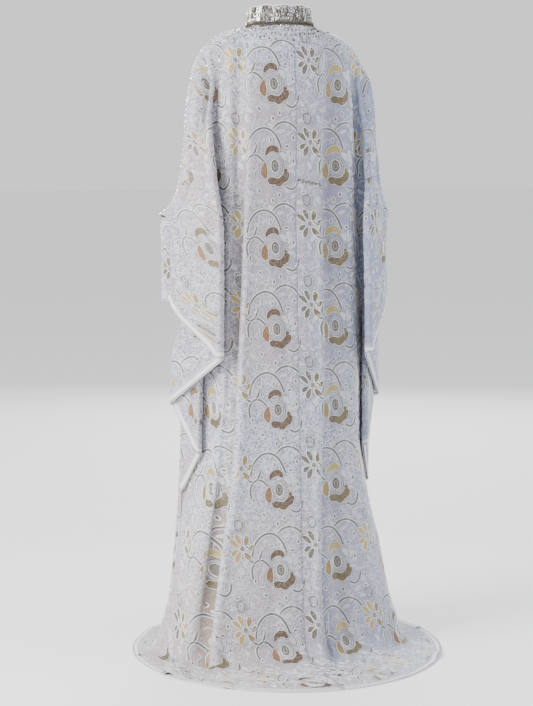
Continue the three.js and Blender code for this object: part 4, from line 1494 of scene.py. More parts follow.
@dataclass
class Cuff:
    """A deep cuff round the forearm, corded at both ends and sewn with daisies and stones."""

    side: Side
    sides: int = 72
    rows: int = 40

    SWELL = ((0, -1.6), (0.12, 0.2), (0.3, -0.8), (0.5, -1.9), (0.68, -0.6), (0.86, -0.2),
             (1, -1.6))
    FOLDS = ((0.9, 0.35, 1.1), (2.6, 0.62, 0.9), (4.2, 0.28, 1.2), (5.4, 0.7, 1.0))
    CORD_HEIGHTS = (CUFF_TOP_Z - 12, CUFF_TOP_Z - 18, CUFF_BOTTOM_Z + 12, CUFF_BOTTOM_Z + 18,
                    CUFF_BOTTOM_Z + 26)
    DAISIES = 4
    PETALS = 7

    @property
    def name(self) -> str:
        """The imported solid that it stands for."""
        return "cuff_" + self.side.name.lower()

    def radius_at(self, angle: np.ndarray, height: np.ndarray) -> np.ndarray:
        """Radius of the cloth's middle, with its soft creases.

        Args:
            angle: turns round the cuff.
            height: heights in millimetres.

        Returns:
            A radius for each place.
        """
        share = (CUFF_TOP_Z - height) / (CUFF_TOP_Z - CUFF_BOTTOM_Z)
        swell = np.interp(share, *np.array(self.SWELL).T)
        creases = sum(-depth * np.exp(-((share - at) / 0.05) ** 2)
                      * np.clip(np.cos(angle - turn), 0, 1) ** 2
                      for turn, at, depth in self.FOLDS)
        return CUFF_RADIUS - WALL / 2 + swell + creases

    def build(self, looks: "Looks") -> list[bpy.types.Object]:
        """Make the cuff's cloth and embroidery.

        Args:
            looks: the finishes.

        Returns:
            The cloth and its embroidery.
        """
        turn = np.linspace(0, 2 * math.pi, self.sides, endpoint=False)
        heights = np.linspace(CUFF_TOP_Z, CUFF_BOTTOM_Z, self.rows)
        angle, height = np.meshgrid(turn, heights)
        radius = self.radius_at(angle, height)
        points = np.stack([self.side.value * (CUFF_CENTRE[0] + radius * np.cos(angle)),
                           CUFF_CENTRE[1] + radius * np.sin(angle), height], -1)
        faces, spots = [], []
        for r in range(self.rows - 1):
            for k in range(self.sides):
                n = (k + 1) % self.sides
                ring = (r * self.sides + k, r * self.sides + n,
                        (r + 1) * self.sides + n, (r + 1) * self.sides + k)
                faces.append(ring if self.side is Side.RIGHT else ring[::-1])
                around = [(2 * math.pi * CUFF_RADIUS / self.sides) * (k + j) for j in (0, 1, 1, 0)]
                down = [heights[r], heights[r], heights[r + 1], heights[r + 1]]
                corner = list(zip(around, down))
                spots += corner if self.side is Side.RIGHT else corner[::-1]
        piece = mesh_object(self.name + "_cloth", points.reshape(-1, 3) * MM, faces,
                            [looks.brocade])
        smooth_faces(piece)
        layer = piece.data.uv_layers.new(name="cloth")
        layer.data.foreach_set("uv", (np.array(spots) * MM).astype(np.float32).ravel())
        thicken(piece, SHELL_THICKNESS)
        flowers = self.flowers(looks)
        for each in (piece, flowers):
            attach(each, "root")
        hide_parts(self.name)
        "back_" + self.side.name.lower()
        LOG.info("%s: cloth and %d stitched faces", self.name, len(flowers.data.polygons))
        return [piece, flowers]

    def flowers(self, looks: "Looks") -> bpy.types.Object:
        """Cords at the ends and daisies between them.

        Args:
            looks: the finishes.

        Returns:
            The embroidery's object.
        """
        work = Stitchery(TubeMap(self))
        around = 2 * math.pi * CUFF_RADIUS
        turn = np.linspace(0, around, 65)
        for height in self.CORD_HEIGHTS:
            work.line(np.column_stack([turn, np.full(len(turn), height)]), 2.2, 0.9,
                      Thread.WHITE_CORD)
        for k in range(self.DAISIES):
            x = (k + 0.5) * around / self.DAISIES
            y = (CUFF_TOP_Z + CUFF_BOTTOM_Z) / 2 + (26 if k % 2 else -22)
            for petal in range(self.PETALS):
                a = 2 * math.pi * petal / self.PETALS + 0.4 * k
                way = np.array([math.cos(a), math.sin(a)])
                path = np.array([x, y]) + np.array([7, 14, 22, 28])[:, None] * way
                work.petal(path, (3, 8.5, 9, 3), (GOLD, PEWTER, OLIVE)[(petal + k) % 3])
            work.disc((x, y), (5.5, 6.5), 10, PEWTER)
            for way in (-1, 1):
                work.stem(np.array([(x + way * 4, y - way * 36), (x + way * 16, y - way * 50),
                                    (x + way * 30, y - way * 44)]))
                for step in range(3):
                    work.eyelet((x + way * (30 - 6 * step), y + way * (30 + 14 * step)), 40 * way,
                                PEWTER)
        return work.to_mesh(self.name + "_flowers",
                            [looks.cord, looks.silver_line, looks.net, looks.satin])


@dataclass(frozen=True)
class Bead:
    """One bead's mesh in metres, its back at z 0, facing +Z with its length along Y."""

    points: np.ndarray
    faces: tuple[tuple[int, ...], ...]


class BeadBox:
    """Makes each kind of bead once, as by hand, for copying."""

    @staticmethod
    def take() -> Bead:
        """Keep the active object's mesh as a bead and remove the object.

        Returns:
            The bead.
        """
        bpy.ops.object.mode_set(mode="OBJECT")
        piece = bpy.context.object
        points = np.array([tuple(vertex.co) for vertex in piece.data.vertices])
        faces = tuple(tuple(face.vertices) for face in piece.data.polygons)
        bpy.data.objects.remove(piece, do_unlink=True)
        return Bead(points, faces)

    def bugle(self, radius: float = 0.00105, length: float = 0.0085) -> Bead:
        """A six-sided glass tube with softened ends.

        Args:
            radius: its radius in metres.
            length: its length in metres.

        Returns:
            The bead.
        """
        bpy.ops.object.select_all(action="DESELECT")
        bpy.ops.mesh.primitive_cylinder_add(vertices=6, radius=radius, depth=length,
                                            rotation=(math.pi / 2, 0, 0),
                                            location=(0, 0, radius))
        bpy.ops.object.transform_apply(location=True, rotation=True, scale=True)
        bpy.ops.object.mode_set(mode="EDIT")
        bpy.ops.mesh.select_all(action="SELECT")
        bpy.ops.mesh.bevel(offset=radius * 0.3, segments=1)
        return self.take()

    def stone(self, radius: float = 0.0017, height: float = 0.0014) -> Bead:
        """A cut stone: six facets up to a flat table.

        Args:
            radius: its radius in metres.
            height: its height in metres.

        Returns:
            The bead.
        """
        bpy.ops.object.select_all(action="DESELECT")
        bpy.ops.mesh.primitive_cylinder_add(vertices=6, radius=radius, depth=height,
                                            location=(0, 0, height / 2))
        bpy.ops.object.transform_apply(location=True, rotation=True, scale=True)
        self.pick(lambda centre: centre.z > height * 0.95)
        bpy.ops.transform.resize(value=(0.55, 0.55, 1), center_override=(0, 0, height))
        return self.take()

    def drop(self, radius: float = 0.0019, length: float = 0.0078) -> Bead:
        """A long drop, wide at its foot.

        Args:
            radius: its radius in metres.
            length: its length in metres.

        Returns:
            The bead.
        """
        bpy.ops.object.select_all(action="DESELECT")
        bpy.ops.mesh.primitive_uv_sphere_add(segments=6, ring_count=5, radius=radius,
                                             rotation=(math.pi / 2, 0, 0))
        bpy.ops.object.transform_apply(location=True, rotation=True, scale=True)
        bpy.ops.object.mode_set(mode="EDIT")
        bpy.ops.mesh.select_all(action="SELECT")
        bpy.ops.transform.resize(value=(1, length / (2 * radius), 0.7))
        bpy.ops.object.mode_set(mode="OBJECT")
        self.pick(lambda centre: centre.y > length * 0.3)
        bpy.ops.transform.resize(value=(0.45, 1, 0.45), center_override=(0, length / 2, 0))
        bead = self.take()
        return Bead(bead.points + np.array([0, 0, radius * 0.6]), bead.faces)

    @staticmethod
    def pick(test: Callable) -> None:
        """Select the active object's faces whose middle passes a test, in edit mode.

        Args:
            test: says of a face's middle whether the face is taken.
        """
        bpy.ops.object.mode_set(mode="EDIT")
        bpy.ops.mesh.select_mode(type="FACE")
        bpy.ops.mesh.select_all(action="DESELECT")
        bpy.ops.object.mode_set(mode="OBJECT")
        for face in bpy.context.object.data.polygons:
            face.select = bool(test(face.center))
        bpy.ops.object.mode_set(mode="EDIT")


@dataclass
class BeadRow:
    """Spots for copies of one bead: where each sits, faces and points."""

    spots: list = field(default_factory=list)
    outs: list = field(default_factory=list)
    ups: list = field(default_factory=list)
    sizes: list = field(default_factory=list)

    def add(self, spot: np.ndarray, out: np.ndarray, up: np.ndarray, size: float) -> None:
        """Note one bead.

        Args:
            spot: place in millimetres.
            out: direction that it faces.
            up: direction of its length.
            size: its size beside the modelled one.
        """
        self.spots.append(spot)
        self.outs.append(out)
        self.ups.append(up)
        self.sizes.append(size)

    def to_mesh(self, name: str, bead: Bead, look: bpy.types.Material) -> bpy.types.Object:
        """Copy the bead to every spot, as one mesh.

        Args:
            name: the piece's name.
            bead: the bead that is copied.
            look: its finish.

        Returns:
            The new object.
        """
        out = unit(np.array(self.outs))
        side = unit(np.cross(np.array(self.ups), out))
        up = np.cross(out, side)
        turn = np.stack([side, up, out], 1)
        local = bead.points[None] * np.array(self.sizes)[:, None, None]
        points = np.array(self.spots)[:, None] * MM + np.einsum("nvk,nkj->nvj", local, turn)
        count = len(bead.points)
        faces = [tuple(i + n * count for i in face) for n in range(len(self.spots))
                 for face in bead.faces]
        piece = mesh_object(name, points.reshape(-1, 3), faces, [look])
        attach(piece, "root")
        LOG.info("%s: %d beads, %d faces", name, len(self.spots), len(faces))
        return piece


@dataclass
class Collar:
    """The stand collar: a stiff band covered with bugle beads, stones and drops."""

    columns: int = 144
    rows: int = 8

    OPENING = 3.0
    LEAN = 0.06
    FLAT = (0.478, 0.0485)
    BUGLE_ROWS = (0.30, 0.50, 0.69, 0.86)
    BUGLES = 164
    FOOT_DROPS = 118
    CROWN_STONES = 190
    CLEAR_OF_OPENING = 0.004
    STONE_CHANCE = 0.17
    DARK_CHANCE = 0.47

    def surface(self, share: float, up: float) -> tuple[np.ndarray, np.ndarray]:
        """Point and outward direction on the band's face.

        Args:
            share: how far round from centre front, from 0 to 1.
            up: height over the band's foot as a share of its full height.

        Returns:
            The point in millimetres and a direction.
        """
        a = 2 * math.pi * share - math.pi / 2
        front = a < 0 or a > math.pi
        width = NECK_HALF_WIDTH - 0.5
        depth = (NECK_FRONT_DEPTH if front else NECK_BACK_DEPTH) - 0.5
        sink = (NECK_FRONT_DROP if front else NECK_BACK_RISE) * math.sin(a)
        apart = self.OPENING / 2 * (1 - 2 * share) * (abs(math.sin(a)) if front else 0)
        lean = 1 - self.LEAN * up
        crest = 1.6 + 1.4 * math.sin(share * 2 * math.pi * 11) + 0.8 * math.sin(share * 57)
        z = NECK_SIDE_Z + sink + COLLAR_LIFT + (COLLAR_HEIGHT + crest) * up
        point = np.array([width * lean * math.cos(a) + apart, depth * lean * math.sin(a), z])
        out = np.array([math.cos(a) / width, math.sin(a) / depth, 0.06 / width])
        return point, unit(out)

    def build(self, looks: "Looks", box: BeadBox) -> list[bpy.types.Object]:
        """Make the band and its beads.

        Args:
            looks: the finishes.
            box: makes each kind of bead.

        Returns:
            The band, then its beads.
        """
        points, faces = [], []
        for c in range(self.columns + 1):
            for r in range(self.rows + 1):
                points.append(self.surface(c / self.columns, r / self.rows)[0])
        step = self.rows + 1
        for c in range(self.columns):
            for r in range(self.rows):
                here = c * step + r
                faces.append((here, here + step, here + step + 1, here + 1))
        band = mesh_object("collar_band", np.array(points) * MM, faces, [looks.collar_cloth])
        smooth_faces(band)
        thicken(band, COLLAR_THICKNESS)
        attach(band, "root")
        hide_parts("collar")
        beads = self.beads(looks, box)
        LOG.info("collar: band and %d kinds of bead", len(beads))
        return [band, *beads]

    def beads(self, looks: "Looks", box: BeadBox) -> list[bpy.types.Object]:
        """Rows of bugles, stones between them and drops along the foot.

        Args:
            looks: the finishes.
            box: makes each kind of bead.

        Returns:
            An object for each kind of bead.
        """
        rng = np.random.default_rng(SEED)
        bugles, darker, stones, drops = BeadRow(), BeadRow(), BeadRow(), BeadRow()
        upright = np.array([0.0, 0.0, 1.0])
        for row, up in enumerate(self.BUGLE_ROWS):
            for k in range(self.BUGLES):
                share = (k + 0.5 * (row % 2)) / self.BUGLES
                if not self.CLEAR_OF_OPENING < share < 1 - self.CLEAR_OF_OPENING:
                    continue
                point, out = self.surface(share, up + rng.normal(0, 0.018))
                around = np.cross(upright, out)
                tilt = upright + around * rng.normal(0, 0.22)
                spot = point + out * 1.1
                chance = rng.random()
                if chance < self.STONE_CHANCE:
                    stones.add(spot + out * 0.3, out + 0.2 * around, tilt, rng.uniform(0.8, 1.5))
                elif chance < self.DARK_CHANCE:
                    darker.add(spot, out, tilt, rng.uniform(0.8, 1.05))
                else:
                    bugles.add(spot, out, tilt, rng.uniform(0.85, 1.2))
        for k in range(self.FOOT_DROPS):
            share = (k + 0.5) / self.FOOT_DROPS
            point, out = self.surface(share, 0.11)
            drops.add(point + out * 1.2, out - 0.2 * upright, upright * -1, rng.uniform(0.85, 1.2))
        for k in range(self.CROWN_STONES):
            share = (k + 0.5) / self.CROWN_STONES
            if not self.CLEAR_OF_OPENING < share < 1 - self.CLEAR_OF_OPENING:
                continue
            point, out = self.surface(share, 0.985 + rng.normal(0, 0.012))
            stones.add(point + out * 0.5, out + upright * 0.8, upright, rng.uniform(0.75, 1.25))
        return [bugles.to_mesh("collar_bugles", box.bugle(), looks.silver_bead),
                darker.to_mesh("collar_dark_bugles", box.bugle(), looks.smoke_bead),
                stones.to_mesh("collar_stones", box.stone(), looks.crystal),
                drops.to_mesh("collar_drops", box.drop(), looks.smoke_bead)]


@dataclass
class Trim:
    """Stones and drops sewn on the cloth: shoulders, arms, neck, back waist and cuffs."""

    cuts: list[PanelCut]
    cuffs: list[Cuff]

    TOP_TRIES = 1250
    SHOULDER_RUN = 130
    DEEPEST_STONE = 90
    # Rows below the collar: distance from the top line, and columns from one bead to the next
    NECK_ROWS = ((8, 1), (17, 2), (28, 2), (41, 3), (56, 5))
    WAIST_BEADS = 22
    WAIST_Z = -388
    CUFF_STRAYS = 150

    def build(self, looks: "Looks", box: BeadBox) -> list[bpy.types.Object]:
        """Sew all of them.

        Args:
            looks: the finishes.
            box: makes each kind of bead.

        Returns:
            An object for each kind of bead.
        """
        rng = np.random.default_rng(SEED + 1)
        stones, small, drops = BeadRow(), BeadRow(), BeadRow()
        for cut in self.cuts:
            self.dress_top(cut, rng, stones, small)
            self.dress_neck(cut, rng, drops, stones)
        self.dress_waist(rng, drops, stones)
        for cuff in self.cuffs:
            self.dress_cuff(cuff, rng, stones, small)
        return [stones.to_mesh("trim_stones", box.stone(), looks.crystal),
                small.to_mesh("trim_small_beads", box.stone(0.0011, 0.0011), looks.silver_bead),
                drops.to_mesh("trim_drops", box.drop(), looks.smoke_bead)]

    def dress_top(self, cut: PanelCut, rng: np.random.Generator, stones: BeadRow,
                  small: BeadRow) -> None:
        """Stones along shoulder and arm, thinning out down the cloth.

        Args:
            cut: the draped panel.
            rng: the seeded source of the scatter.
            stones: the row that takes stones.
            small: the row that takes small beads.
        """
        tops = cut.points[:, 0]
        length = np.concatenate([[0], np.cumsum(np.linalg.norm(np.diff(tops, axis=0), axis=1))])
        start = length[next(c for c, (piece, _) in enumerate(cut.columns) if piece >= 5)]
        for _ in range(self.TOP_TRIES):
            at = rng.uniform(start, length[-1])
            column = int(np.searchsorted(length, at).clip(0, len(length) - 1))
            reach = 34 if at < start + self.SHOULDER_RUN else 8
            if at > start + self.SHOULDER_RUN and rng.random() < 0.55:
                continue
            down = 2.0 + rng.exponential(reach)
            if down > self.DEEPEST_STONE:
                continue
            point, out = cut.along_column(column, down)
            turn = rng.uniform(0, 2 * math.pi)
            up = np.array([math.cos(turn), 0.3, math.sin(turn)])
            row = stones if rng.random() < 0.5 else small
            row.add(point + out * 0.7, out, up, rng.uniform(0.8, 1.35))

    def dress_neck(self, cut: PanelCut, rng: np.random.Generator, drops: BeadRow,
                   stones: BeadRow) -> None:
        """Dark drops and stones in rows below the collar.

        Args:
            cut: the draped panel.
            rng: the seeded source of the scatter.
            drops: the row that takes drops.
            stones: the row that takes stones.
        """
        columns = [c for c, (piece, _) in enumerate(cut.columns) if piece <= 5]
        for ring, (down, gap) in enumerate(self.NECK_ROWS):
            for column in columns[ring % 2::gap]:
                point, out = cut.along_column(column, down + rng.uniform(-3, 3))
                away = unit(np.array([point[0], point[1], -20.0]))
                row = drops if rng.random() < 0.72 else stones
                row.add(point + out * 0.6, out, -away, rng.uniform(0.65, 1.05))

    def dress_waist(self, rng: np.random.Generator, drops: BeadRow, stones: BeadRow) -> None:
        """A short uneven row of dark stones beside the centre back.

        Args:
            rng: the seeded source of the scatter.
            drops: the row that takes drops.
            stones: the row that takes stones.
        """
        cut = next(c for c in self.cuts if not c.front and c.side is Side.RIGHT)
        cloth = ClothMap(cut)
        for k in range(self.WAIST_BEADS):
            x = 3 + 2.9 * k
            flat = np.array([[x, self.WAIST_Z - 0.16 * x + rng.normal(0, 2.2)]])
            point, on = cloth.place(flat, np.array([0.7]))
            if on[0]:
                out = np.array([-0.1, 1.0, 0.0])
                row = drops if k % 3 else stones
                row.add(point[0], out, np.array([1.0, 0, rng.normal(0, 1)]),
                        rng.uniform(0.75, 1.0))

    def dress_cuff(self, cuff: Cuff, rng: np.random.Generator, stones: BeadRow,
                   small: BeadRow) -> None:
        """Stones in bands at both ends and strewn between.

        Args:
            cuff: the cuff that is dressed.
            rng: the seeded source of the scatter.
            stones: the row that takes stones.
            small: the row that takes small beads.
        """
        bands = ((CUFF_TOP_Z - 6, 40), (CUFF_BOTTOM_Z + 6, 44), (CUFF_BOTTOM_Z + 22, 40))
        spots = [(2 * math.pi * k / count, z + rng.normal(0, 0.8))
                 for z, count in bands for k in range(count)]
        spots += [(rng.uniform(0, 2 * math.pi), rng.uniform(CUFF_BOTTOM_Z + 8, CUFF_TOP_Z - 8))
                  for _ in range(self.CUFF_STRAYS)]
        for angle, z in spots:
            radius = float(cuff.radius_at(np.array(angle), np.array(z))) + 0.7
            out = np.array([cuff.side.value * math.cos(angle), math.sin(angle), 0.0])
            point = np.array([cuff.side.value * CUFF_CENTRE[0], CUFF_CENTRE[1], z]) + radius * out
            row = stones if rng.random() < 0.45 else small
            row.add(point, out, np.array([0.2, 0.1, 1.0]), rng.uniform(0.7, 1.2))


SocketValue = float | tuple | bpy.types.NodeSocket


class Graph:
    """A material's node tree, wired step by step."""

    MIX_SHARE, MIX_A, MIX_B, MIX_RESULT = 0, 6, 7, 2

    def __init__(self, name: str) -> None:
        """Start a material with only a shader and an output.

        Args:
            name: the material's name.
        """
        self.material = bpy.data.materials.new(name)
        self.material.use_nodes = True
        self.tree = self.material.node_tree
        self.shader = self.tree.nodes["Principled BSDF"]

    def node(self, kind: str, inputs: dict | None = None,
             **settings: object) -> bpy.types.Node:
        """Add a node.

        Args:
            kind: its type.
            inputs: a value or an output for each of its sockets.
            settings: its own properties.

        Returns:
            The node.
        """
        made = self.tree.nodes.new(kind)
        for key, value in settings.items():
            setattr(made, key, value)
        for key, value in (inputs or {}).items():
            self.wire(made.inputs[key], value)
        return made

    def wire(self, socket: bpy.types.NodeSocket, value: "SocketValue") -> None:
        """Set a socket to a value or link an output to it.

        Args:
            socket: the input.
            value: a value, or an output to link.
        """
        if isinstance(value, bpy.types.NodeSocket):
            self.tree.links.new(value, socket)
        else:
            socket.default_value = value

    def set(self, **inputs: "SocketValue") -> None:
        """Set the shader's sockets, named with underscores for spaces."""
        for key, value in inputs.items():
            self.wire(self.shader.inputs[key.replace("_", " ")], value)

    def mix(self, share: "SocketValue", a: "SocketValue",
            b: "SocketValue") -> bpy.types.NodeSocket:
        """Mix two colours.

        Args:
            share: how much of the second colour.
            a: the first colour.
            b: the second colour.

        Returns:
            The mixed colour.
        """
        made = self.node("ShaderNodeMix", data_type="RGBA")
        self.wire(made.inputs[self.MIX_SHARE], share)
        self.wire(made.inputs[self.MIX_A], a)
        self.wire(made.inputs[self.MIX_B], b)
        return made.outputs[self.MIX_RESULT]

    def ramp(self, source: "SocketValue", low: float, high: float) -> bpy.types.NodeSocket:
        """Stretch a value between two limits to the range 0 to 1."""
        made = self.node("ShaderNodeMapRange", {0: source, 1: low, 2: high})
        return made.outputs[0]

    def bump(self, height: "SocketValue", strength: float, distance: float,
             after: bpy.types.NodeSocket | None = None) -> bpy.types.NodeSocket:
        """Bump from a height, on top of another bump.

        Args:
            height: the height.
            strength: how strongly it shows.
            distance: its depth in metres.
            after: a bump that lies under it.

        Returns:
            The bent normal.
        """
        inputs = {"Height": height, "Strength": strength, "Distance": distance}
        if after is not None:
            inputs["Normal"] = after
        return self.node("ShaderNodeBump", inputs).outputs[0]


@dataclass(frozen=True)
class Brocade:
    """Ivory brocade: wandering raised threads on a fine weave, with painted light and shade."""

    ivory: tuple = (0.535, 0.55, 0.625, 1)
    hollow: tuple = (0.165, 0.195, 0.30, 1)
    rose: tuple = (0.30, 0.265, 0.30, 1)
    # Painted light by side: a warm lit tone and a cool painted-shade tone
    cool: tuple = (0.20, 0.245, 0.39, 1)
    warm: tuple = (0.385, 0.295, 0.27, 1)
    # Painted shade in the fold troughs, brown at +x and blue at -x
    deep_cool: tuple = (0.11, 0.13, 0.22, 1)
    deep_warm: tuple = (0.20, 0.14, 0.07, 1)

    def material(self) -> bpy.types.Material:
        """Build it.

        Returns:
            The material.
        """
        graph = Graph("brocade")
        spot = graph.node("ShaderNodeUVMap", uv_map="cloth").outputs[0]
        place = graph.node("ShaderNodeTexCoord").outputs["Object"]
        wander = graph.node("ShaderNodeTexNoise", {"Vector": spot, "Scale": 70.0,
                                                   "Detail": 2.0}).outputs["Color"]
        bent = graph.node("ShaderNodeMix", data_type="VECTOR")
        graph.wire(bent.inputs[0], 0.02)
        graph.wire(bent.inputs[4], spot)
        graph.wire(bent.inputs[5], wander)
        cells = graph.node("ShaderNodeTexVoronoi", {"Vector": bent.outputs[1], "Scale": 125.0},
                           feature="DISTANCE_TO_EDGE").outputs[0]
        thread = graph.ramp(cells, 0.03, 0.19)
        nap = graph.node("ShaderNodeTexNoise", {"Vector": spot, "Scale": 900.0,
                                                "Detail": 3.0}).outputs[0]
        weave = graph.node("ShaderNodeTexWave", {"Vector": spot, "Scale": 380.0},
                           bands_direction="DIAGONAL").outputs[1]
        tone = graph.node("ShaderNodeTexNoise", {"Vector": place, "Scale": 2.6,
                                                 "Detail": 3.0}).outputs[0]
        blotch = graph.node("ShaderNodeTexNoise", {"Vector": spot, "Scale": 42.0,
                                                   "Detail": 4.0}).outputs[0]
        split = graph.node("ShaderNodeSeparateXYZ", {0: place}).outputs
        side = split[0]
        low = graph.mix(graph.ramp(split[2], -0.85, -1.45), self.hollow, self.rose)
        # Painted light and shade by side: warm at +x where the key lamp falls, cool painted shade
        # at -x, in large patches
        lean = graph.ramp(side, 0.22, -0.26)
        cast = graph.mix(lean, self.warm, self.cool)
        colour = graph.mix(thread, self.ivory, low)
        colour = graph.mix(graph.ramp(tone, 0.35, 0.75), colour, cast)
        colour = graph.mix(graph.ramp(blotch, 0.52, 0.95), colour, self.ivory)
        # Painted shade in the folds: darker the deeper the trough, brown at +x and blue at -x
        fold = graph.node("ShaderNodeAttribute", attribute_name="fold").outputs["Fac"]
        inner = graph.mix(graph.ramp(side, -0.02, 0.02), self.deep_cool, self.deep_warm)
        depth = graph.node("ShaderNodeMapRange", {0: fold, 1: 0.05, 2: 1.0, 3: 0.0, 4: 0.78})
        colour = graph.mix(depth.outputs[0], colour, inner)
        graph.set(Base_Color=colour, Sheen_Weight=0.22, Sheen_Roughness=0.45,
                  Specular_IOR_Level=0.42)
        rough = graph.node("ShaderNodeMapRange", {0: nap, 1: 0.3, 2: 0.7, 3: 0.5, 4: 0.72})
        graph.set(Roughness=rough.outputs[0])
        first = graph.bump(weave, 0.12, 0.0003)
        second = graph.bump(nap, 0.25, 0.0005, first)
        graph.set(Normal=graph.bump(thread, 0.55, 0.0011, second))
        return graph.material


@dataclass(frozen=True)
class ThreadFinish:
    """A cord, metal line or satin fill: one colour with a fine twist."""

    name: str
    colour: tuple
    shade: tuple
    roughness: float
    metal: float = 0.0
    sheen: float = 0.0
    scale: float = 1100.0
    depth: float = 0.0004

    def material(self) -> bpy.types.Material:
        """Build it.

        Returns:
            The material.
        """
        graph = Graph(self.name)
        place = graph.node("ShaderNodeTexCoord").outputs["Object"]
        grain = graph.node("ShaderNodeTexNoise", {"Vector": place, "Scale": self.scale,
                                                  "Detail": 2.0}).outputs[0]
        drift = graph.node("ShaderNodeTexNoise", {"Vector": place, "Scale": 30.0}).outputs[0]
        colour = graph.mix(graph.ramp(grain, 0.4, 0.7), self.shade, self.colour)
        colour = graph.mix(graph.ramp(drift, 0.3, 0.9), colour, self.shade)
        graph.set(Base_Color=colour, Metallic=self.metal, Roughness=self.roughness,
                  Sheen_Weight=self.sheen, Normal=graph.bump(grain, 0.4, self.depth))
        return graph.material


@dataclass(frozen=True)
class SheerNet:
    """Fine metallic net in the petals, in each petal's own colour."""

    def material(self) -> bpy.types.Material:
        """Build it.

        Returns:
            The material.
        """
        graph = Graph("sheer_net")
        place = graph.node("ShaderNodeTexCoord").outputs["Object"]
        tint = graph.node("ShaderNodeAttribute", attribute_name="tint").outputs["Color"]
        mesh = graph.node("ShaderNodeTexVoronoi", {"Vector": place, "Scale": 620.0}).outputs[0]
        drift = graph.node("ShaderNodeTexNoise", {"Vector": place, "Scale": 170.0,
                                                  "Detail": 4.0}).outputs[0]
        light = graph.mix(0.16, tint, (0.62, 0.58, 0.52, 1))
        colour = graph.mix(graph.ramp(mesh, 0.25, 0.8), tint, light)
        colour = graph.mix(graph.ramp(drift, 0.5, 1.0), colour, (0.36, 0.29, 0.21, 1))
        graph.set(Base_Color=colour, Metallic=0.2, Roughness=0.48, Specular_IOR_Level=0.35,
                  Normal=graph.bump(mesh, 0.5, 0.0005))
        return graph.material


@dataclass(frozen=True)
class BeadFinish:
    """Glass or lined glass beads, a little uneven from bead to bead."""

    name: str
    colour: tuple
    other: tuple
    roughness: float
    metal: float
    coat: float = 0.0

    def material(self) -> bpy.types.Material:
        """Build it.

        Returns:
            The material.
        """
        graph = Graph(self.name)
        place = graph.node("ShaderNodeTexCoord").outputs["Object"]
        vary = graph.node("ShaderNodeTexNoise", {"Vector": place, "Scale": 260.0}).outputs[0]
        colour = graph.mix(graph.ramp(vary, 0.38, 0.62), self.colour, self.other)
        graph.set(Base_Color=colour, Metallic=self.metal, Roughness=self.roughness,
                  Coat_Weight=self.coat)
        return graph.material


@dataclass
class Looks:
    """Every finish of the kaftan, made once."""

    brocade: bpy.types.Material = field(init=False)
    cord: bpy.types.Material = field(init=False)
    silver_line: bpy.types.Material = field(init=False)
    satin: bpy.types.Material = field(init=False)
    net: bpy.types.Material = field(init=False)
    collar_cloth: bpy.types.Material = field(init=False)
    silver_bead: bpy.types.Material = field(init=False)
    smoke_bead: bpy.types.Material = field(init=False)
    crystal: bpy.types.Material = field(init=False)

    def __post_init__(self) -> None:
        """Build all materials."""
        self.brocade = Brocade().material()
        self.cord = ThreadFinish("white_cord", (0.84, 0.83, 0.83, 1), (0.66, 0.66, 0.69, 1),
                                 0.5, sheen=0.15).material()
        self.silver_line = ThreadFinish("silver_line", (0.22, 0.22, 0.23, 1),
                                        (0.11, 0.11, 0.11, 1), 0.42, metal=0.3).material()
        self.satin = ThreadFinish("white_satin", (0.62, 0.62, 0.65, 1), (0.42, 0.43, 0.49, 1),
                                  0.4, sheen=0.1, scale=500.0).material()
        self.net = SheerNet().material()
        self.collar_cloth = ThreadFinish("collar_ground", (0.24, 0.23, 0.22, 1),
                                         (0.11, 0.105, 0.10, 1), 0.55, scale=700.0).material()
        self.silver_bead = BeadFinish("silver_bead", (0.74, 0.74, 0.75, 1),
                                      (0.36, 0.35, 0.34, 1), 0.24, 0.8).material()
        self.smoke_bead = BeadFinish("smoke_bead", (0.035, 0.03, 0.024, 1),
                                     (0.17, 0.13, 0.08, 1), 0.2, 0.35, 0.3).material()
        self.crystal = BeadFinish("crystal", (0.93, 0.94, 0.97, 1), (0.72, 0.74, 0.78, 1),
                                  0.07, 0.55, 0.5).material()


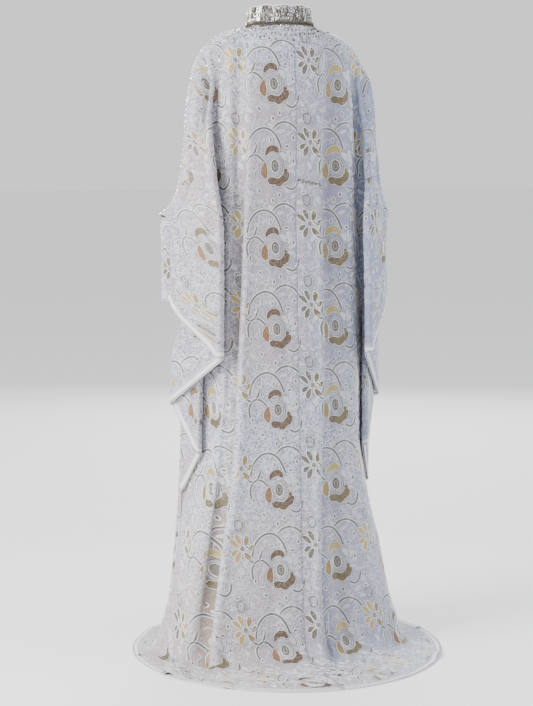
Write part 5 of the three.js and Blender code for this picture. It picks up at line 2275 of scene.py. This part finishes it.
@dataclass
class Studio:
    """Pale floor, soft lamps and the camera at the photograph's angle."""

    azimuth: float = 160.0
    distance: float = 4.5
    height: float = -0.35
    tilt: float = 6.16
    lens: float = 88.8
    shift: float = -0.0191

    SENSOR = 36.0
    FLOOR_SIZE = 160.0
    FLOOR_DROP = 0.0006
    # Painted pool of light on the floor: lighter within the first radius, fading to the outer
    # floor by the second
    NEAR_FLOOR, NEAR_RADIUS = (0.97, 0.97, 0.97, 1), 1.2
    FAR_FLOOR, FAR_RADIUS = (0.92, 0.92, 0.92, 1), 1.42
    AIR_COLOUR, AIR_STRENGTH = (0.985, 0.99, 1.0, 1), 1.08
    # Place, width, power and colour of each lamp
    LAMPS = (((4.4, 1.0, 1.0), 2.0, 430.0, (1.0, 0.985, 0.96)),
             ((-3.8, 2.0, 0.8), 2.6, 90.0, (0.84, 0.90, 1.0)),
             ((0.3, 0.2, 2.9), 3.2, 50.0, (1.0, 1.0, 1.0)),
             ((-1.8, -4.0, 1.0), 3.0, 160.0, (1.0, 0.99, 0.97)))

    def build(self) -> None:
        """Set the stage."""
        self.floor()
        self.lamps()
        self.camera()

    def floor(self) -> None:
        """A wide pale floor with a painted pool of light, and a pale grey surround."""
        bpy.ops.object.select_all(action="DESELECT")
        bpy.ops.mesh.primitive_plane_add(size=self.FLOOR_SIZE)
        floor = bpy.context.object
        floor.name = "studio_floor"
        floor.data.transform(Matrix.Translation((0, 0, FLOOR_Z * MM - self.FLOOR_DROP)))
        graph = Graph("studio_floor")
        place = graph.node("ShaderNodeTexCoord").outputs["Object"]
        spot = graph.node("ShaderNodeVectorMath", {0: place, 1: (0, 0, -FLOOR_Z * MM)},
                          operation="ADD").outputs[0]
        far = graph.node("ShaderNodeVectorMath", {0: spot}, operation="LENGTH").outputs["Value"]
        # Painted pool of light: the floor is lighter near the garment
        share = graph.ramp(far, self.NEAR_RADIUS, self.FAR_RADIUS)
        colour = graph.mix(share, self.NEAR_FLOOR, self.FAR_FLOOR)
        graph.set(Base_Color=colour, Roughness=0.75)
        floor.data.materials.append(graph.material)
        world = bpy.data.worlds.new("studio_air")
        world.use_nodes = True
        air = world.node_tree.nodes["Background"]
        air.inputs[0].default_value = self.AIR_COLOUR
        air.inputs[1].default_value = self.AIR_STRENGTH
        bpy.context.scene.world = world

    def lamps(self) -> None:
        """Large soft lamps turned to the middle of the garment."""
        for number, (place, size, power, colour) in enumerate(self.LAMPS):
            lamp = bpy.data.lights.new(f"lamp_{number}", "AREA")
            lamp.size = size
            lamp.energy = power
            lamp.color = colour
            holder = bpy.data.objects.new(lamp.name, lamp)
            holder.location = place
            aim = Vector((0, 0, -0.7)) - Vector(place)
            holder.rotation_euler = aim.to_track_quat("-Z", "Y").to_euler()
            bpy.context.scene.collection.objects.link(holder)

    def camera(self) -> None:
        """Camera behind and to the left of the wearer, just under shoulder height."""
        view = bpy.data.cameras.new("camera")
        view.sensor_width = self.SENSOR
        view.lens = self.lens
        view.shift_x = self.shift
        holder = bpy.data.objects.new("camera", view)
        a = math.radians(self.azimuth)
        holder.location = (self.distance * math.sin(a), -self.distance * math.cos(a), self.height)
        holder.rotation_euler = (math.radians(90 - self.tilt), 0, a)
        bpy.context.scene.collection.objects.link(holder)
        bpy.context.scene.camera = holder


# Creases: across, top, bottom, depth (a trough is below 0), width and lean
LEFT_CREASES = (
    Crease(126, -90, -1360, -19.0, 19, 0.056), Crease(106, -110, -1360, 6.5, 12, 0.054),
    Crease(158, -200, -1250, 5.0, 14, 0.06), Crease(152, -860, -2000, -27.0, 32, 0.165),
    Crease(124, -860, -2000, 9.0, 15, 0.16), Crease(206, -860, -2000, 8.0, 22, 0.19),
    Crease(62, -160, -900, 2.0, 18, -0.01), Crease(28, -330, -1180, -2.4, 15, 0.01),
    Crease(86, -620, -1500, -3.0, 20, 0.03), Crease(16, -900, -1860, 3.0, 20, 0.02),
    Crease(60, -1100, -1900, -5.0, 22, 0.05), Crease(300, -1050, -1960, -12.0, 26, 0.2),
    Crease(290, -1150, -2300, 11.0, 18, 0.2),
    Crease(218, -260, -900, -4.0, 14, 0.04), Crease(520, -260, -640, 3.4, 20, 0.06),
    Crease(580, -330, -720, -3.4, 22, 0.03), Crease(470, -420, -760, -2.6, 18, -0.04),
    Crease(630, -420, -700, 2.6, 20, 0.05),
)
RIGHT_CREASES = (
    Crease(86, -90, -1330, -18.0, 21, 0.0), Crease(64, -110, -1330, 6.0, 12, 0.0),
    Crease(120, -150, -1330, 5.0, 16, 0.01), Crease(82, -820, -1960, -25.0, 32, -0.02),
    Crease(54, -820, -1960, 8.0, 13, -0.02), Crease(128, -820, -1960, 7.0, 22, 0.05),
    Crease(20, -260, -900, 1.8, 16, 0.0), Crease(160, -260, -1400, -5.0, 15, 0.02),
    Crease(190, -420, -1400, 4.0, 16, 0.04), Crease(205, -1000, -1960, -8.0, 24, 0.12),
    Crease(255, -1150, -2300, 10.0, 20, 0.16), Crease(500, -260, -650, 3.2, 20, 0.05),
    Crease(560, -340, -720, -3.2, 20, 0.02), Crease(610, -430, -700, 2.6, 18, 0.05),
)
FRONT_CREASES = (
    Crease(34, -260, -1300, -5.0, 16, 0.01), Crease(64, -420, -1600, 4.0, 18, 0.02),
    Crease(96, -300, -1500, -8.0, 17, 0.02), Crease(130, -700, -1900, 5.0, 20, 0.05),
    Crease(60, -900, -1960, -10.0, 22, 0.06), Crease(150, -300, -1100, -4.0, 16, 0.01),
    Crease(160, -1000, -1960, -9.0, 24, 0.12), Crease(215, -1080, -1960, 5.0, 26, 0.16),
    Crease(480, -200, -420, 2.2, 18, 0.04),
)

# Colours by how many repeats a spray lies from the first one at the centre seam
SIDE_TONES = (BRONZE_TONES, GOLD_TONES, OLIVE_TONES, GOLD_TONES)


def make_panels() -> list[ClothPanel]:
    """The four panels with their folds, cuts and the pattern's start on each.

    Returns:
        The panels, back before front.
    """
    plans = (
        ("back_left", Side.LEFT, False, BACK_LEFT, LEFT_CREASES, (-57.0, -352.5)),
        ("back_right", Side.RIGHT, False, BACK_RIGHT, RIGHT_CREASES, (-57.0, -352.5)),
        ("front_left", Side.LEFT, True, FRONT, FRONT_CREASES, (-60.0, -331.0)),
        ("front_right", Side.RIGHT, True, FRONT, FRONT_CREASES, (-60.0, -331.0)),
    )
    panels = []
    for name, side, front, torso, creases, origin in plans:
        cut = PanelCut(name, side, front, torso, creases)
        wide, long = cut.flat_size()
        panels.append(ClothPanel(cut, (wide, long), origin, SIDE_TONES))
    return panels


def write_sizes() -> None:
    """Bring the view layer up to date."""
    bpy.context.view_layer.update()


def main() -> None:
    """Build the kaftan piece by piece, then the studio."""
    logging.basicConfig(level=logging.INFO, format="%(name)s: %(message)s")
    looks = Looks()
    box = BeadBox()
    panels = make_panels()
    cuffs = [Cuff(Side.LEFT), Cuff(Side.RIGHT)]
    for builder in (*panels, *cuffs):
        builder.build(looks)
    Collar().build(looks, box)
    Trim([panel.cut for panel in panels], cuffs).build(looks, box)
    Studio().build()
    write_sizes()


if __name__ == "__main__":
    main()
